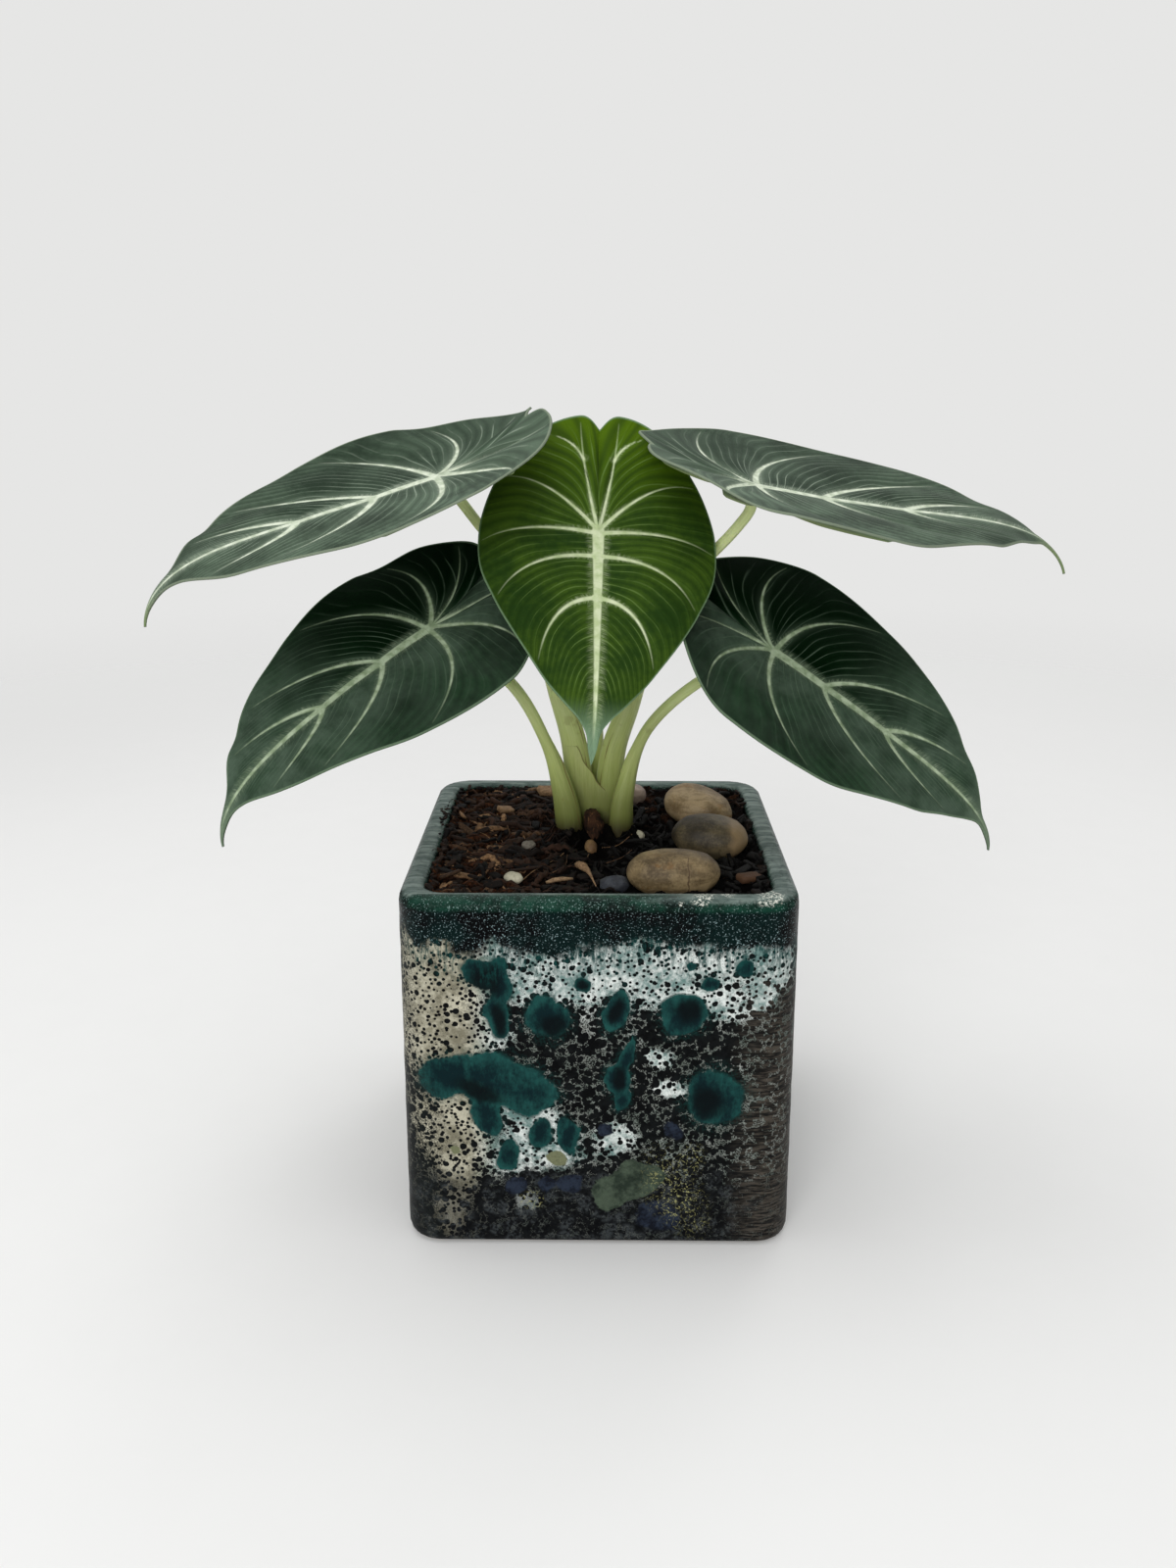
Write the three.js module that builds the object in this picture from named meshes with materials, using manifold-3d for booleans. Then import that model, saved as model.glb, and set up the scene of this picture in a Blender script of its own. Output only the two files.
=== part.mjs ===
// A young black velvet alocasia in a glazed cube pot, with river pebbles on its soil.
// Millimetres, +Z up, and the origin at the middle of the pot's underside.
// Seen from the front, which is the -Y side, +X is to the right.
import * as THREE from 'three';
import { mergeVertices } from 'three/addons/utils/BufferGeometryUtils.js';
import Module from 'manifold-3d';

const wasm = await Module();
wasm.setup();

// The pot is a slip-cast cube, a little wider at its foot than at its rim.
const POT_HEIGHT = 98;
const POT_TOP_HALF = 50;
const POT_FOOT_HALF = 51;
const POT_CORNER_RADIUS = 9.5;
const POT_WALL = 6.7;
const POT_FLOOR = 8;
const POT_RIM_ROUND = 2.8;
const POT_FOOT_ROUND = 2.5;
const POT_INNER_CORNER_RADIUS = 6;
const POT_RIM_FLAT = 1.4;
const ROUND_STEPS = 4;
const CORNER_STEPS = 6;

// The clearance between two pieces that touch, and round a piece that stands in the soil.
const GAP = 0.3;
const HOLE_GAP = 0.35;

// The soil fills the pot to just under its rim.
const SOIL_TOP = 95.3;
const SOIL_BUMP = 0.9;
const SOIL_RINGS = 9;

// The crown, where the leaf stalks leave the rhizome, stands a little behind the pot's middle.
const CROWN_X = -1.2;
const CROWN_Y = 8;
const CROWN_SEAT = 90.8;
const STALK_FOOT = CROWN_SEAT + GAP;
const STALK_SIDES = 12;
const STALK_STEPS = 20;

// A blade is about as thick as card, and thicker over the ribs on its underside.
const BLADE_THICKNESS = 0.8;
const MIDRIB_DEPTH = 1.3;
const MIDRIB_HALF_WIDTH = 2.2;
const LATERAL_DEPTH = 0.7;
const BLADE_ACROSS = [0, 0.07, 0.22, 0.42, 0.62, 0.82, 1];
const QUILT_RISE = 1.1;
const MARGIN_WAVE = 0.5;
const MARGIN_WAVE_RATE = 2.3;
const MARGIN_WAVE_SKEW = 0.4;
const TIP_ROWS = 5;

const COLOURS = {
  pot: [0x35504c, 0.2],
  soil: [0x2a1c13, 1],
  rhizome: [0x4a2c1c, 0.9],
  cormlet: [0x7a5c3a, 0.8],
  stalk: [0x93a566, 0.5],
  frontBlade: [0x2f5a16, 0.7],
  darkBlade: [0x14271c, 0.75],
  greyBlade: [0x2f4237, 0.75],
  tanStone: [0x9a7650, 0.7],
  greyStone: [0x6b5d4c, 0.7],
  pinkStone: [0x8f7f74, 0.7],
  slate: [0x23252b, 0.8],
  perlite: [0xb9b6a6, 0.9],
};

const plant = new THREE.Group();

function material([colour, roughness]) {
  return new THREE.MeshStandardMaterial({ color: colour, roughness, metalness: 0 });
}

function addPiece(name, geometry, finish) {
  const mesh = new THREE.Mesh(geometry, material(finish));
  mesh.name = name;
  plant.add(mesh);
  return mesh;
}

// Joins equal points and drops the faces that have shrunk to a line, such as those at a leaf's tip.
function closedGeometry(points, faces) {
  const loose = new THREE.BufferGeometry();
  loose.setAttribute('position', new THREE.Float32BufferAttribute(points.flat(), 3));
  loose.setIndex(faces.flat());
  const merged = mergeVertices(loose, 1e-3);
  const index = merged.getIndex().array;
  const kept = [];
  for (let i = 0; i < index.length; i += 3) {
    const [a, b, c] = [index[i], index[i + 1], index[i + 2]];
    if (a !== b && b !== c && c !== a) {
      kept.push(a, b, c);
    }
  }
  merged.setIndex(kept);
  return merged;
}

function toSolid(geometry) {
  const vertProperties = new Float32Array(geometry.getAttribute('position').array);
  const triVerts = new Uint32Array(geometry.getIndex().array);
  return new wasm.Manifold(new wasm.Mesh({ numProp: 3, vertProperties, triVerts }));
}

function toGeometry(solid) {
  const mesh = solid.getMesh();
  const geometry = new THREE.BufferGeometry();
  geometry.setAttribute('position', new THREE.Float32BufferAttribute(mesh.vertProperties, 3));
  geometry.setIndex(Array.from(mesh.triVerts));
  return geometry;
}

// Skins a stack of rings, each a closed loop of as many points, and closes both ends with a fan.
// The rings run counter-clockwise seen from the end that the stack grows towards.
function skinRings(rings) {
  const count = rings[0].length;
  const points = rings.flat();
  const faces = [];
  for (let level = 0; level + 1 < rings.length; level += 1) {
    for (let k = 0; k < count; k += 1) {
      const next = (k + 1) % count;
      const a = level * count + k;
      const b = level * count + next;
      const c = a + count;
      const d = b + count;
      faces.push([a, b, d], [a, d, c]);
    }
  }
  const lastRing = (rings.length - 1) * count;
  const foot = points.length;
  points.push(middleOf(rings[0]));
  const head = points.length;
  points.push(middleOf(rings[rings.length - 1]));
  for (let k = 0; k < count; k += 1) {
    const next = (k + 1) % count;
    faces.push([foot, next, k], [head, lastRing + k, lastRing + next]);
  }
  return closedGeometry(points, faces);
}

function middleOf(ring) {
  const sum = [0, 0, 0];
  for (const point of ring) {
    sum[0] += point[0] / ring.length;
    sum[1] += point[1] / ring.length;
    sum[2] += point[2] / ring.length;
  }
  return sum;
}

// A square ring with round corners.
function squareRing(half, radius, z) {
  const ring = [];
  for (let corner = 0; corner < 4; corner += 1) {
    const start = corner * Math.PI / 2;
    const middle = start + Math.PI / 4;
    const cx = Math.sign(Math.cos(middle)) * (half - radius);
    const cy = Math.sign(Math.sin(middle)) * (half - radius);
    for (let k = 0; k <= CORNER_STEPS; k += 1) {
      const angle = start + (k / CORNER_STEPS) * Math.PI / 2;
      ring.push([cx + radius * Math.cos(angle), cy + radius * Math.sin(angle), z]);
    }
  }
  return ring;
}

function potHalfAt(z) {
  return POT_FOOT_HALF + (POT_TOP_HALF - POT_FOOT_HALF) * z / POT_HEIGHT;
}

const POT_INNER_HALF = POT_TOP_HALF - POT_WALL;

function potGeometry() {
  const rings = [];
  for (let k = 0; k <= ROUND_STEPS; k += 1) {
    const angle = (k / ROUND_STEPS) * Math.PI / 2;
    const z = POT_FOOT_ROUND * (1 - Math.sin(Math.PI / 2 - angle));
    const inset = POT_FOOT_ROUND * (1 - Math.sin(angle));
    rings.push(squareRing(potHalfAt(z) - inset, POT_CORNER_RADIUS - inset, z));
  }
  for (let k = 0; k <= ROUND_STEPS; k += 1) {
    const angle = (k / ROUND_STEPS) * Math.PI / 2;
    const z = POT_HEIGHT - POT_RIM_ROUND * (1 - Math.sin(angle));
    const inset = POT_RIM_ROUND * (1 - Math.cos(angle));
    rings.push(squareRing(potHalfAt(z) - inset, POT_CORNER_RADIUS - inset, z));
  }
  const lip = POT_WALL - POT_RIM_ROUND - POT_RIM_FLAT;
  for (let k = 0; k <= ROUND_STEPS; k += 1) {
    const angle = (k / ROUND_STEPS) * Math.PI / 2;
    const z = POT_HEIGHT - lip * (1 - Math.cos(angle));
    const outset = lip * (1 - Math.sin(angle));
    rings.push(squareRing(POT_INNER_HALF + outset, POT_INNER_CORNER_RADIUS + outset, z));
  }
  rings.push(squareRing(POT_INNER_HALF, POT_INNER_CORNER_RADIUS, POT_FLOOR));
  return skinRings(rings);
}

// Low mounds and hollows, the same wherever they are asked for.
function soilHeight(x, y) {
  const mounds = Math.sin(x * 0.19 + 0.6) * Math.cos(y * 0.17 - 0.9);
  const lumps = Math.sin(x * 0.43 - y * 0.31 + 2.1) * Math.cos(y * 0.47 + x * 0.12);
  return SOIL_TOP + SOIL_BUMP * (0.6 * mounds + 0.7 * lumps);
}

function soilGeometry(cutters) {
  const half = POT_INNER_HALF - GAP;
  const radius = POT_INNER_CORNER_RADIUS - GAP;
  const rings = [squareRing(half, radius, POT_FLOOR + GAP)];
  for (let k = 0; k < SOIL_RINGS; k += 1) {
    const share = 1 - k / SOIL_RINGS;
    const ring = squareRing(half * share, radius * share, SOIL_TOP);
    const edge = Math.min(1, k / 2);
    rings.push(ring.map(([x, y]) => [x, y, SOIL_TOP + edge * (soilHeight(x, y) - SOIL_TOP)]));
  }
  let soil = toSolid(skinRings(rings));
  for (const cutter of cutters) {
    soil = soil.subtract(toSolid(cutter));
  }
  return toGeometry(soil);
}

// The leaf pattern. A half blade is a fan of curved lines that leave the midrib and end on the margin.
// Each row is one such line: where it starts along the midrib, the point that it bends towards, and
// where it ends. Across, 1 is half the blade's width. Along, 1 is the tip, and -1 the end of the lobes.
const FRONT_ROWS = [
  [0, 0, -0.45, 0, -0.89],
  [0, 0.14, -0.5, 0.17, -1],
  [0, 0.1, -0.72, 0.52, -0.86],
  [0, 0.48, -0.52, 0.86, -0.42],
  [0.01, 0.75, -0.05, 1, 0.09],
  [0.12, 0.66, 0.12, 0.84, 0.36],
  [0.31, 0.42, 0.33, 0.48, 0.63],
  [0.51, 0.23, 0.54, 0.27, 0.75],
  [0.66, 0.11, 0.69, 0.12, 0.82],
  [0.79, 0.035, 0.82, 0.045, 0.87],
  [0.9, 0.015, 0.92, 0.022, 0.935],
  [1, 0, 1, 0, 1],
];
const SIDE_ROWS = [
  [0, 0, -0.45, 0, -0.89],
  [0, 0.06, -0.52, 0.17, -1],
  [0, 0.1, -0.62, 0.42, -0.93],
  [0, 0.26, -0.66, 0.74, -0.65],
  [0, 0.44, -0.58, 0.93, -0.28],
  [0, 0.62, -0.22, 1, 0.06],
  [0.01, 0.64, 0.02, 0.87, 0.31],
  [0.1, 0.53, 0.17, 0.69, 0.47],
  [0.2, 0.38, 0.3, 0.49, 0.62],
  [0.32, 0.28, 0.41, 0.36, 0.695],
  [0.44, 0.2, 0.51, 0.26, 0.755],
  [0.62, 0.1, 0.67, 0.12, 0.82],
  [0.79, 0.035, 0.82, 0.045, 0.87],
  [0.9, 0.015, 0.92, 0.022, 0.935],
  [1, 0, 1, 0, 1],
];

// The rows that hold a main vein, and so a rib.
const FRONT_VEINS = [1, 3, 4, 5, 6];
const SIDE_VEINS = [2, 4, 6, 8, 10];

// Where each leaf joins its stalk, which way it points, and how it bends. Heading is counted from +X
// in plan, pitch is negative downwards, and roll lifts the side to the right of the heading. Droop,
// hook, fold, curl and twist are in radians, each over the whole blade. The lobe drop, in millimetres,
// bends the lobe to the right of the heading down towards its end.
const LEAVES = {
  front: {
    attach: [-0.4, -1.3, 181.2], heading: -90, pitch: -48.7, roll: 6.8,
    length: 99, halfWidth: 31, rearShare: 0.353, droop: 0.24, hook: 0.73, rearRise: 0.15,
    fold: 0.07, curl: 0.18, twist: 0.16, lobeDrop: 0,
    rows: FRONT_ROWS, veins: FRONT_VEINS, finish: 'frontBlade',
  },
  upper_left: {
    attach: [-41.8, 1, 195.2], heading: 202.6, pitch: -17, roll: 9.1,
    length: 118.4, halfWidth: 37.5, rearShare: 0.267, droop: -0.085, hook: 1.33, rearRise: 0.56,
    fold: -0.09, curl: -0.43, twist: 0.26, lobeDrop: 8,
    rows: SIDE_ROWS, veins: SIDE_VEINS, finish: 'greyBlade',
  },
  lower_left: {
    attach: [-45, -1.6, 156], heading: 218.7, pitch: -24.6, roll: 16.2,
    length: 110, halfWidth: 34.8, rearShare: 0.247, droop: 0.26, hook: 1.15, rearRise: 0.69,
    fold: 0.035, curl: 0.02, twist: 0.05, lobeDrop: 0,
    rows: SIDE_ROWS, veins: SIDE_VEINS, finish: 'darkBlade',
  },
  lower_right: {
    attach: [46.9, 4.7, 148.9], heading: -12, pitch: -33, roll: -26.3,
    length: 115.4, halfWidth: 36.5, rearShare: 0.256, droop: 0.09, hook: 0.91, rearRise: 0.2,
    fold: 0.1, curl: 0.045, twist: -0.3, lobeDrop: 0,
    rows: SIDE_ROWS, veins: SIDE_VEINS, finish: 'darkBlade',
  },
  upper_right: {
    attach: [39.7, -0.8, 193.1], heading: 8, pitch: -12.1, roll: -12.1,
    length: 125.4, halfWidth: 39.6, rearShare: 0.249, droop: -0.21, hook: 1.22, rearRise: 0.3,
    fold: -0.01, curl: -0.22, twist: -0.21, lobeDrop: 0,
    rows: SIDE_ROWS, veins: SIDE_VEINS, finish: 'greyBlade',
  },
};

// One row of the pattern between two given ones, on a smooth curve through them all. Its start, the
// first value, keeps to straight lines, so that the rows that leave the joint leave it together.
function rowAt(rows, position) {
  const last = rows.length - 1;
  const i = Math.min(Math.floor(position), last - 1);
  const t = position - i;
  const before = rows[Math.max(i - 1, 0)];
  const here = rows[i];
  const next = rows[i + 1];
  const after = rows[Math.min(i + 2, last)];
  return here.map((value, k) => {
    if (k === 0) {
      return value + (next[k] - value) * t;
    }
    const leave = (next[k] - before[k]) / 2;
    const arrive = (after[k] - value) / 2;
    const cubic = 2 * value - 2 * next[k] + leave + arrive;
    const square = -3 * value + 3 * next[k] - 2 * leave - arrive;
    return ((cubic * t + square) * t + leave) * t + value;
  });
}

// A point of the flat blade: across from the midrib, and along from the joint with the stalk.
function flatPoint(leaf, position, across) {
  const [start, bendX, bendY, endX, endY] = rowAt(leaf.rows, position);
  const rest = 1 - across;
  const along = (share) => share * leaf.length * (share < 0 ? leaf.rearShare : 1 - leaf.rearShare);
  const x = 2 * across * rest * bendX + across * across * endX;
  const y = rest * rest * along(start) + 2 * across * rest * along(bendY)
    + across * across * along(endY);
  return [Math.max(x, 0) * leaf.halfWidth, y];
}

// The midrib's slope at a share of its way to the tip, or, where the share is negative, to the lobes.
function midribSlope(leaf, share) {
  if (share < 0) {
    return leaf.rearRise * share;
  }
  return -(leaf.droop * share + leaf.hook * share ** 6);
}

const MIDRIB_STEPS = 60;

function midribPoint(leaf, along) {
  const reach = leaf.length * (along < 0 ? leaf.rearShare : 1 - leaf.rearShare);
  const share = along / reach;
  let y = 0;
  let z = 0;
  for (let k = 0; k < MIDRIB_STEPS; k += 1) {
    const slope = midribSlope(leaf, share * (k + 0.5) / MIDRIB_STEPS);
    y += Math.cos(slope) * along / MIDRIB_STEPS;
    z += Math.sin(slope) * along / MIDRIB_STEPS;
  }
  return { y, z, slope: midribSlope(leaf, share) };
}

// Bends a flat point: along the midrib, across as an arc, and twisted about the midrib.
function bentPoint(leaf, side, x, along, lift) {
  const { y, z, slope } = midribPoint(leaf, along);
  const share = x / leaf.halfWidth;
  const curl = leaf.curl + 1e-6;
  const tilt = leaf.fold - curl * share;
  const lean = tilt * Math.min(1, x / MIDRIB_HALF_WIDTH);
  const arcOut = (Math.sin(leaf.fold) - Math.sin(tilt)) * leaf.halfWidth / curl;
  const arcUp = (Math.cos(tilt) - Math.cos(leaf.fold)) * leaf.halfWidth / curl;
  const out = arcOut - lift * Math.sin(lean);
  const up = arcUp + lift * Math.cos(lean);
  const twist = leaf.twist * along / leaf.length;
  const across = side * out * Math.cos(twist) - up * Math.sin(twist);
  const rear = Math.max(0, -along / (leaf.length * leaf.rearShare));
  const drop = side > 0 ? leaf.lobeDrop * share * rear ** 3 : 0;
  const raised = side * out * Math.sin(twist) + up * Math.cos(twist) - drop;
  return [across, y - raised * Math.sin(slope), z + raised * Math.cos(slope)];
}

function leafAxes(leaf) {
  const heading = THREE.MathUtils.degToRad(leaf.heading);
  const pitch = THREE.MathUtils.degToRad(leaf.pitch);
  const roll = THREE.MathUtils.degToRad(leaf.roll);
  const forward = new THREE.Vector3(
    Math.cos(heading) * Math.cos(pitch), Math.sin(heading) * Math.cos(pitch), Math.sin(pitch));
  const level = new THREE.Vector3().crossVectors(forward, new THREE.Vector3(0, 0, 1)).normalize();
  const upright = new THREE.Vector3().crossVectors(level, forward);
  const side = level.multiplyScalar(Math.cos(roll)).addScaledVector(upright, Math.sin(roll));
  const up = new THREE.Vector3().crossVectors(side, forward);
  return { side, forward, up };
}

function placePoint(leaf, axes, [x, y, z]) {
  return new THREE.Vector3(...leaf.attach)
    .addScaledVector(axes.side, x)
    .addScaledVector(axes.forward, y)
    .addScaledVector(axes.up, z)
    .toArray();
}

// The blade swells between two main veins, and its margin is gently waved.
function bladeLift(leaf, side, position, across) {
  const last = leaf.rows.length - 1;
  const stops = [0, ...leaf.veins, last];
  const after = stops.findIndex((stop) => stop >= position && stop > 0);
  const low = stops[after - 1];
  const high = stops[after];
  const swell = Math.sin(Math.PI * (position - low) / (high - low));
  const narrow = Math.min(1, (last - position) / TIP_ROWS);
  const quilt = QUILT_RISE * swell * 4 * across * (1 - across) * narrow;
  const rate = MARGIN_WAVE_RATE + MARGIN_WAVE_SKEW * side;
  const wave = MARGIN_WAVE * narrow * across ** 3 * Math.sin(position * rate);
  return quilt + wave;
}

// The underside's ribs, as extra depth under the midrib and under each main vein.
function ribDepth(leaf, position, across, x, along) {
  const toTip = Math.max(0, 1 - Math.max(0, along) / (leaf.length * (1 - leaf.rearShare)));
  const onMidrib = along < 0 ? Math.max(0, 1 + along / (0.5 * leaf.length * leaf.rearShare)) : 1;
  const midrib = MIDRIB_DEPTH * Math.sqrt(toTip) * onMidrib * Math.exp(-((x / MIDRIB_HALF_WIDTH) ** 2));
  const onVein = leaf.veins.includes(position) ? 1 : 0;
  const lateral = LATERAL_DEPTH * onVein * Math.sqrt(Math.max(0, 1 - across)) * Math.min(1, across * 8);
  return midrib + lateral;
}

// The rows that a blade is built on: each given row, the middle between two, and a pair beside each vein.
function bladeRows(leaf) {
  const last = leaf.rows.length - 1;
  const positions = new Set();
  for (let k = 0; k <= last; k += 1) {
    positions.add(k);
  }
  for (const vein of leaf.veins) {
    positions.add(vein - 0.25);
    positions.add(vein + 0.25);
  }
  positions.add(0.5);
  positions.add(last - 3.5);
  positions.add(last - 2.5);
  positions.add(last - 0.5);
  return [...positions].sort((a, b) => a - b);
}

function bladeGeometry(leaf) {
  const axes = leafAxes(leaf);
  const positions = bladeRows(leaf);
  const points = [];
  const faces = [];
  const columns = BLADE_ACROSS.length;
  for (const side of [1, -1]) {
    const top = points.length;
    for (const depthShare of [0, 1]) {
      for (const position of positions) {
        for (const across of BLADE_ACROSS) {
          const [x, along] = flatPoint(leaf, position, across);
          const depth = BLADE_THICKNESS + ribDepth(leaf, position, across, x, along);
          const lift = bladeLift(leaf, side, position, across) - depthShare * depth;
          points.push(placePoint(leaf, axes, bentPoint(leaf, side, x, along, lift)));
        }
      }
    }
    const bottom = top + positions.length * columns;
    const turn = (face) => (side > 0 ? face : [face[0], face[2], face[1]]);
    for (let row = 0; row + 1 < positions.length; row += 1) {
      for (let column = 0; column + 1 < columns; column += 1) {
        const a = row * columns + column;
        const b = a + 1;
        const c = a + columns;
        const d = c + 1;
        faces.push(turn([top + a, top + b, top + d]), turn([top + a, top + d, top + c]));
        faces.push(turn([bottom + a, bottom + d, bottom + b]), turn([bottom + a, bottom + c, bottom + d]));
      }
      const rim = row * columns + columns - 1;
      faces.push(turn([top + rim, bottom + rim, bottom + rim + columns]));
      faces.push(turn([top + rim, bottom + rim + columns, top + rim + columns]));
    }
  }
  return closedGeometry(points, faces);
}

// The leaf stalks. Each path starts on the rhizome and comes to its blade from below and behind. A stalk's
// foot is as wide as its sheath, and narrows over the share of its length that the sheath reaches. Its
// head ends at a depth under the blade that leaves the clearance between the two.
const STALKS = {
  front: {
    path: [[-1.2, 16.2, STALK_FOOT], [-1.2, 16.2, 110], [-1.1, 16, 135], [-0.8, 13.5, 158]],
    footWidth: 2.9, footDepth: 2.6, headRadius: 1.5, headDepth: 3.2, sheathEnd: 0.6,
  },
  upper_left: {
    path: [[-5.4, 9.5, STALK_FOOT], [-5.5, 9.4, 103], [-7.5, 9.2, 122], [-11.6, 10, 135.5],
      [-16, 11, 150], [-20.5, 11.5, 164], [-25.6, 10.5, 173.5], [-32.8, 8, 179]],
    footWidth: 3.9, footDepth: 3.1, headRadius: 1.4, headDepth: 2.9, sheathEnd: 0.75,
  },
  lower_left: {
    path: [[-8.2, 2.6, STALK_FOOT], [-8.6, 2.5, 99], [-10, 2.3, 108], [-14.7, 1.5, 123.6],
      [-24.2, 0, 140.6]],
    footWidth: 3.7, footDepth: 3.3, headRadius: 1.6, headDepth: 3, sheathEnd: 0.45,
  },
  lower_right: {
    path: [[5.8, 2.6, STALK_FOOT], [6, 2.5, 99], [6.9, 2.4, 108.5], [13.1, 2.6, 126.7], [26.8, 3.6, 139.8]],
    footWidth: 3.5, footDepth: 3.3, headRadius: 1.55, headDepth: 2.9, sheathEnd: 0.45,
  },
  upper_right: {
    path: [[3.1, 9.5, STALK_FOOT], [2.6, 9.4, 103], [4, 9.2, 119.2], [8.3, 9.5, 132],
      [13, 9, 147], [18, 8, 160], [24.6, 7, 169.3], [32.2, 6, 175.6]],
    footWidth: 3.9, footDepth: 3.1, headRadius: 1.45, headDepth: 3.1, sheathEnd: 0.75,
  },
};
const STALK_NECK_DEPTH = 6.5;
const STALK_NECK_BACK = 3;
const STALK_HEAD_BACK = 0.6;

function stalkGeometry(stalk, leaf, grow) {
  const { up, forward } = leafAxes(leaf);
  const attach = new THREE.Vector3(...leaf.attach);
  const path = stalk.path.map((point) => new THREE.Vector3(...point));
  const below = (depth, back) => attach.clone().addScaledVector(up, -depth).addScaledVector(forward, -back);
  path.push(below(STALK_NECK_DEPTH, STALK_NECK_BACK));
  path.push(below(stalk.headDepth, STALK_HEAD_BACK));
  const curve = new THREE.CatmullRomCurve3(path, false, 'centripetal');
  const rings = [];
  for (let k = 0; k <= STALK_STEPS; k += 1) {
    const share = k / STALK_STEPS;
    const centre = curve.getPointAt(share);
    const tangent = curve.getTangentAt(share);
    const back = new THREE.Vector3(0, 1, 0);
    const across = new THREE.Vector3().crossVectors(back, tangent).normalize();
    const away = new THREE.Vector3().crossVectors(tangent, across);
    const sheath = 1 - THREE.MathUtils.smoothstep(share, 0.08, stalk.sheathEnd);
    const halfWidth = stalk.headRadius + (stalk.footWidth - stalk.headRadius) * sheath + grow;
    const halfDepth = stalk.headRadius + (stalk.footDepth - stalk.headRadius) * sheath + grow;
    const ring = [];
    for (let n = 0; n < STALK_SIDES; n += 1) {
      const angle = (n / STALK_SIDES) * 2 * Math.PI;
      const point = centre.clone()
        .addScaledVector(across, halfWidth * Math.cos(angle))
        .addScaledVector(away, halfDepth * Math.sin(angle));
      point.z = k === 0 ? STALK_FOOT - grow : point.z;
      ring.push(point.toArray());
    }
    rings.push(ring);
  }
  return skinRings(rings);
}

// The rhizome is a stout root stock. The stalks stand on its shoulder, and its old tip shows in front.
const RHIZOME_LEVELS = [
  [CROWN_X, CROWN_Y, 74, 2.5],
  [CROWN_X, CROWN_Y, 77, 5.6],
  [CROWN_X, CROWN_Y, 82, 8.6],
  [CROWN_X, CROWN_Y, 88, 9.9],
  [CROWN_X, CROWN_Y, CROWN_SEAT, 9.8],
  [-1.05, 1.8, CROWN_SEAT, 3.1],
  [-1.05, 1.6, 96, 3],
  [-1.05, 1.7, 100, 2.8],
  [-1, 2.2, 103, 1.9],
  [-1, 2.5, 104, 0.9],
];
const RHIZOME_SIDES = 14;
const RHIZOME_WAIST = 82;

function rhizomeGeometry(grow) {
  const rings = RHIZOME_LEVELS.map(([cx, cy, height, radius], level) => {
    const z = height + (height > RHIZOME_WAIST ? grow : -grow);
    const ring = [];
    for (let n = 0; n < RHIZOME_SIDES; n += 1) {
      const angle = (n / RHIZOME_SIDES) * 2 * Math.PI;
      const rough = radius * (1 + 0.04 * Math.sin(3 * angle + level)) + grow;
      ring.push([cx + rough * Math.cos(angle), cy + rough * Math.sin(angle), z]);
    }
    return ring;
  });
  return skinRings(rings);
}

// River pebbles and grains, and a small offset corm that lies before the rhizome: centre, half sizes,
// turn in plan, tilt about the long axis and lumps.
const STONES = {
  cormlet: { centre: [-2.2, -8.6, 96.3], size: [1.7, 2.5, 2], turn: 0.1, tilt: 0.3, lumps: 0.05,
    finish: 'cormlet' },
  pebble_front: { centre: [18.9, -34.6, 99.4], size: [11.9, 7.2, 5.8], turn: 0, tilt: 0, lumps: 0.02,
    finish: 'tanStone' },
  pebble_middle: { centre: [30.4, -7.6, 99.3], size: [10.4, 8, 5.7], turn: -0.2, tilt: 0.1, lumps: 0.03,
    finish: 'greyStone' },
  pebble_back: { centre: [28.9, 16.8, 99.6], size: [10.6, 7.4, 5.8], turn: -0.5, tilt: 0, lumps: 0.03,
    finish: 'tanStone' },
  pebble_small: { centre: [9.5, 33.8, 97.8], size: [5, 4.2, 3.4], turn: 0.3, tilt: 0, lumps: 0.03,
    finish: 'pinkStone' },
  slate_chip: { centre: [4.1, -36, 96.3], size: [3.9, 2.9, 2.4], turn: -0.2, tilt: 0.2, lumps: 0.16,
    finish: 'slate' },
  perlite_oval: { centre: [-21.9, -31.5, 96.3], size: [2.9, 1.9, 1.3], turn: -0.7, tilt: 0.3, lumps: 0.06,
    finish: 'perlite' },
  perlite_round: { centre: [11.2, -0.1, 96.6], size: [1.5, 1.4, 1.4], turn: 0, tilt: 0, lumps: 0.06,
    finish: 'perlite' },
  perlite_grey: { centre: [-19.4, -7.8, 96.5], size: [2, 1.5, 1.2], turn: 0.6, tilt: 0, lumps: 0.08,
    finish: 'perlite' },
};

// The sides and levels of a pebble, and of a grain.
const PEBBLE_FACETS = [18, 10];
const GRAIN_FACETS = [10, 7];
const PEBBLE_MIN_SIZE = 6;

function stoneGeometry(stone, grow) {
  const facets = stone.size[0] > PEBBLE_MIN_SIZE ? PEBBLE_FACETS : GRAIN_FACETS;
  const sphere = new THREE.SphereGeometry(1, ...facets);
  const position = sphere.getAttribute('position');
  const turned = new THREE.Euler(stone.tilt, 0, stone.turn, 'ZXY');
  const points = [];
  for (let i = 0; i < position.count; i += 1) {
    const point = new THREE.Vector3().fromBufferAttribute(position, i);
    const rough = 1 + stone.lumps * Math.sin(3 * point.x + 1) * Math.cos(4 * point.y + 2 * point.z);
    const [a, b, c] = stone.size;
    point.set(point.x * (a * rough + grow), point.y * (b * rough + grow), point.z * (c * rough + grow));
    point.applyEuler(turned).add(new THREE.Vector3(...stone.centre));
    points.push(point.toArray());
  }
  return closedGeometry(points, [...sphere.getIndex().array]);
}

addPiece('pot', potGeometry(), COLOURS.pot);

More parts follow.
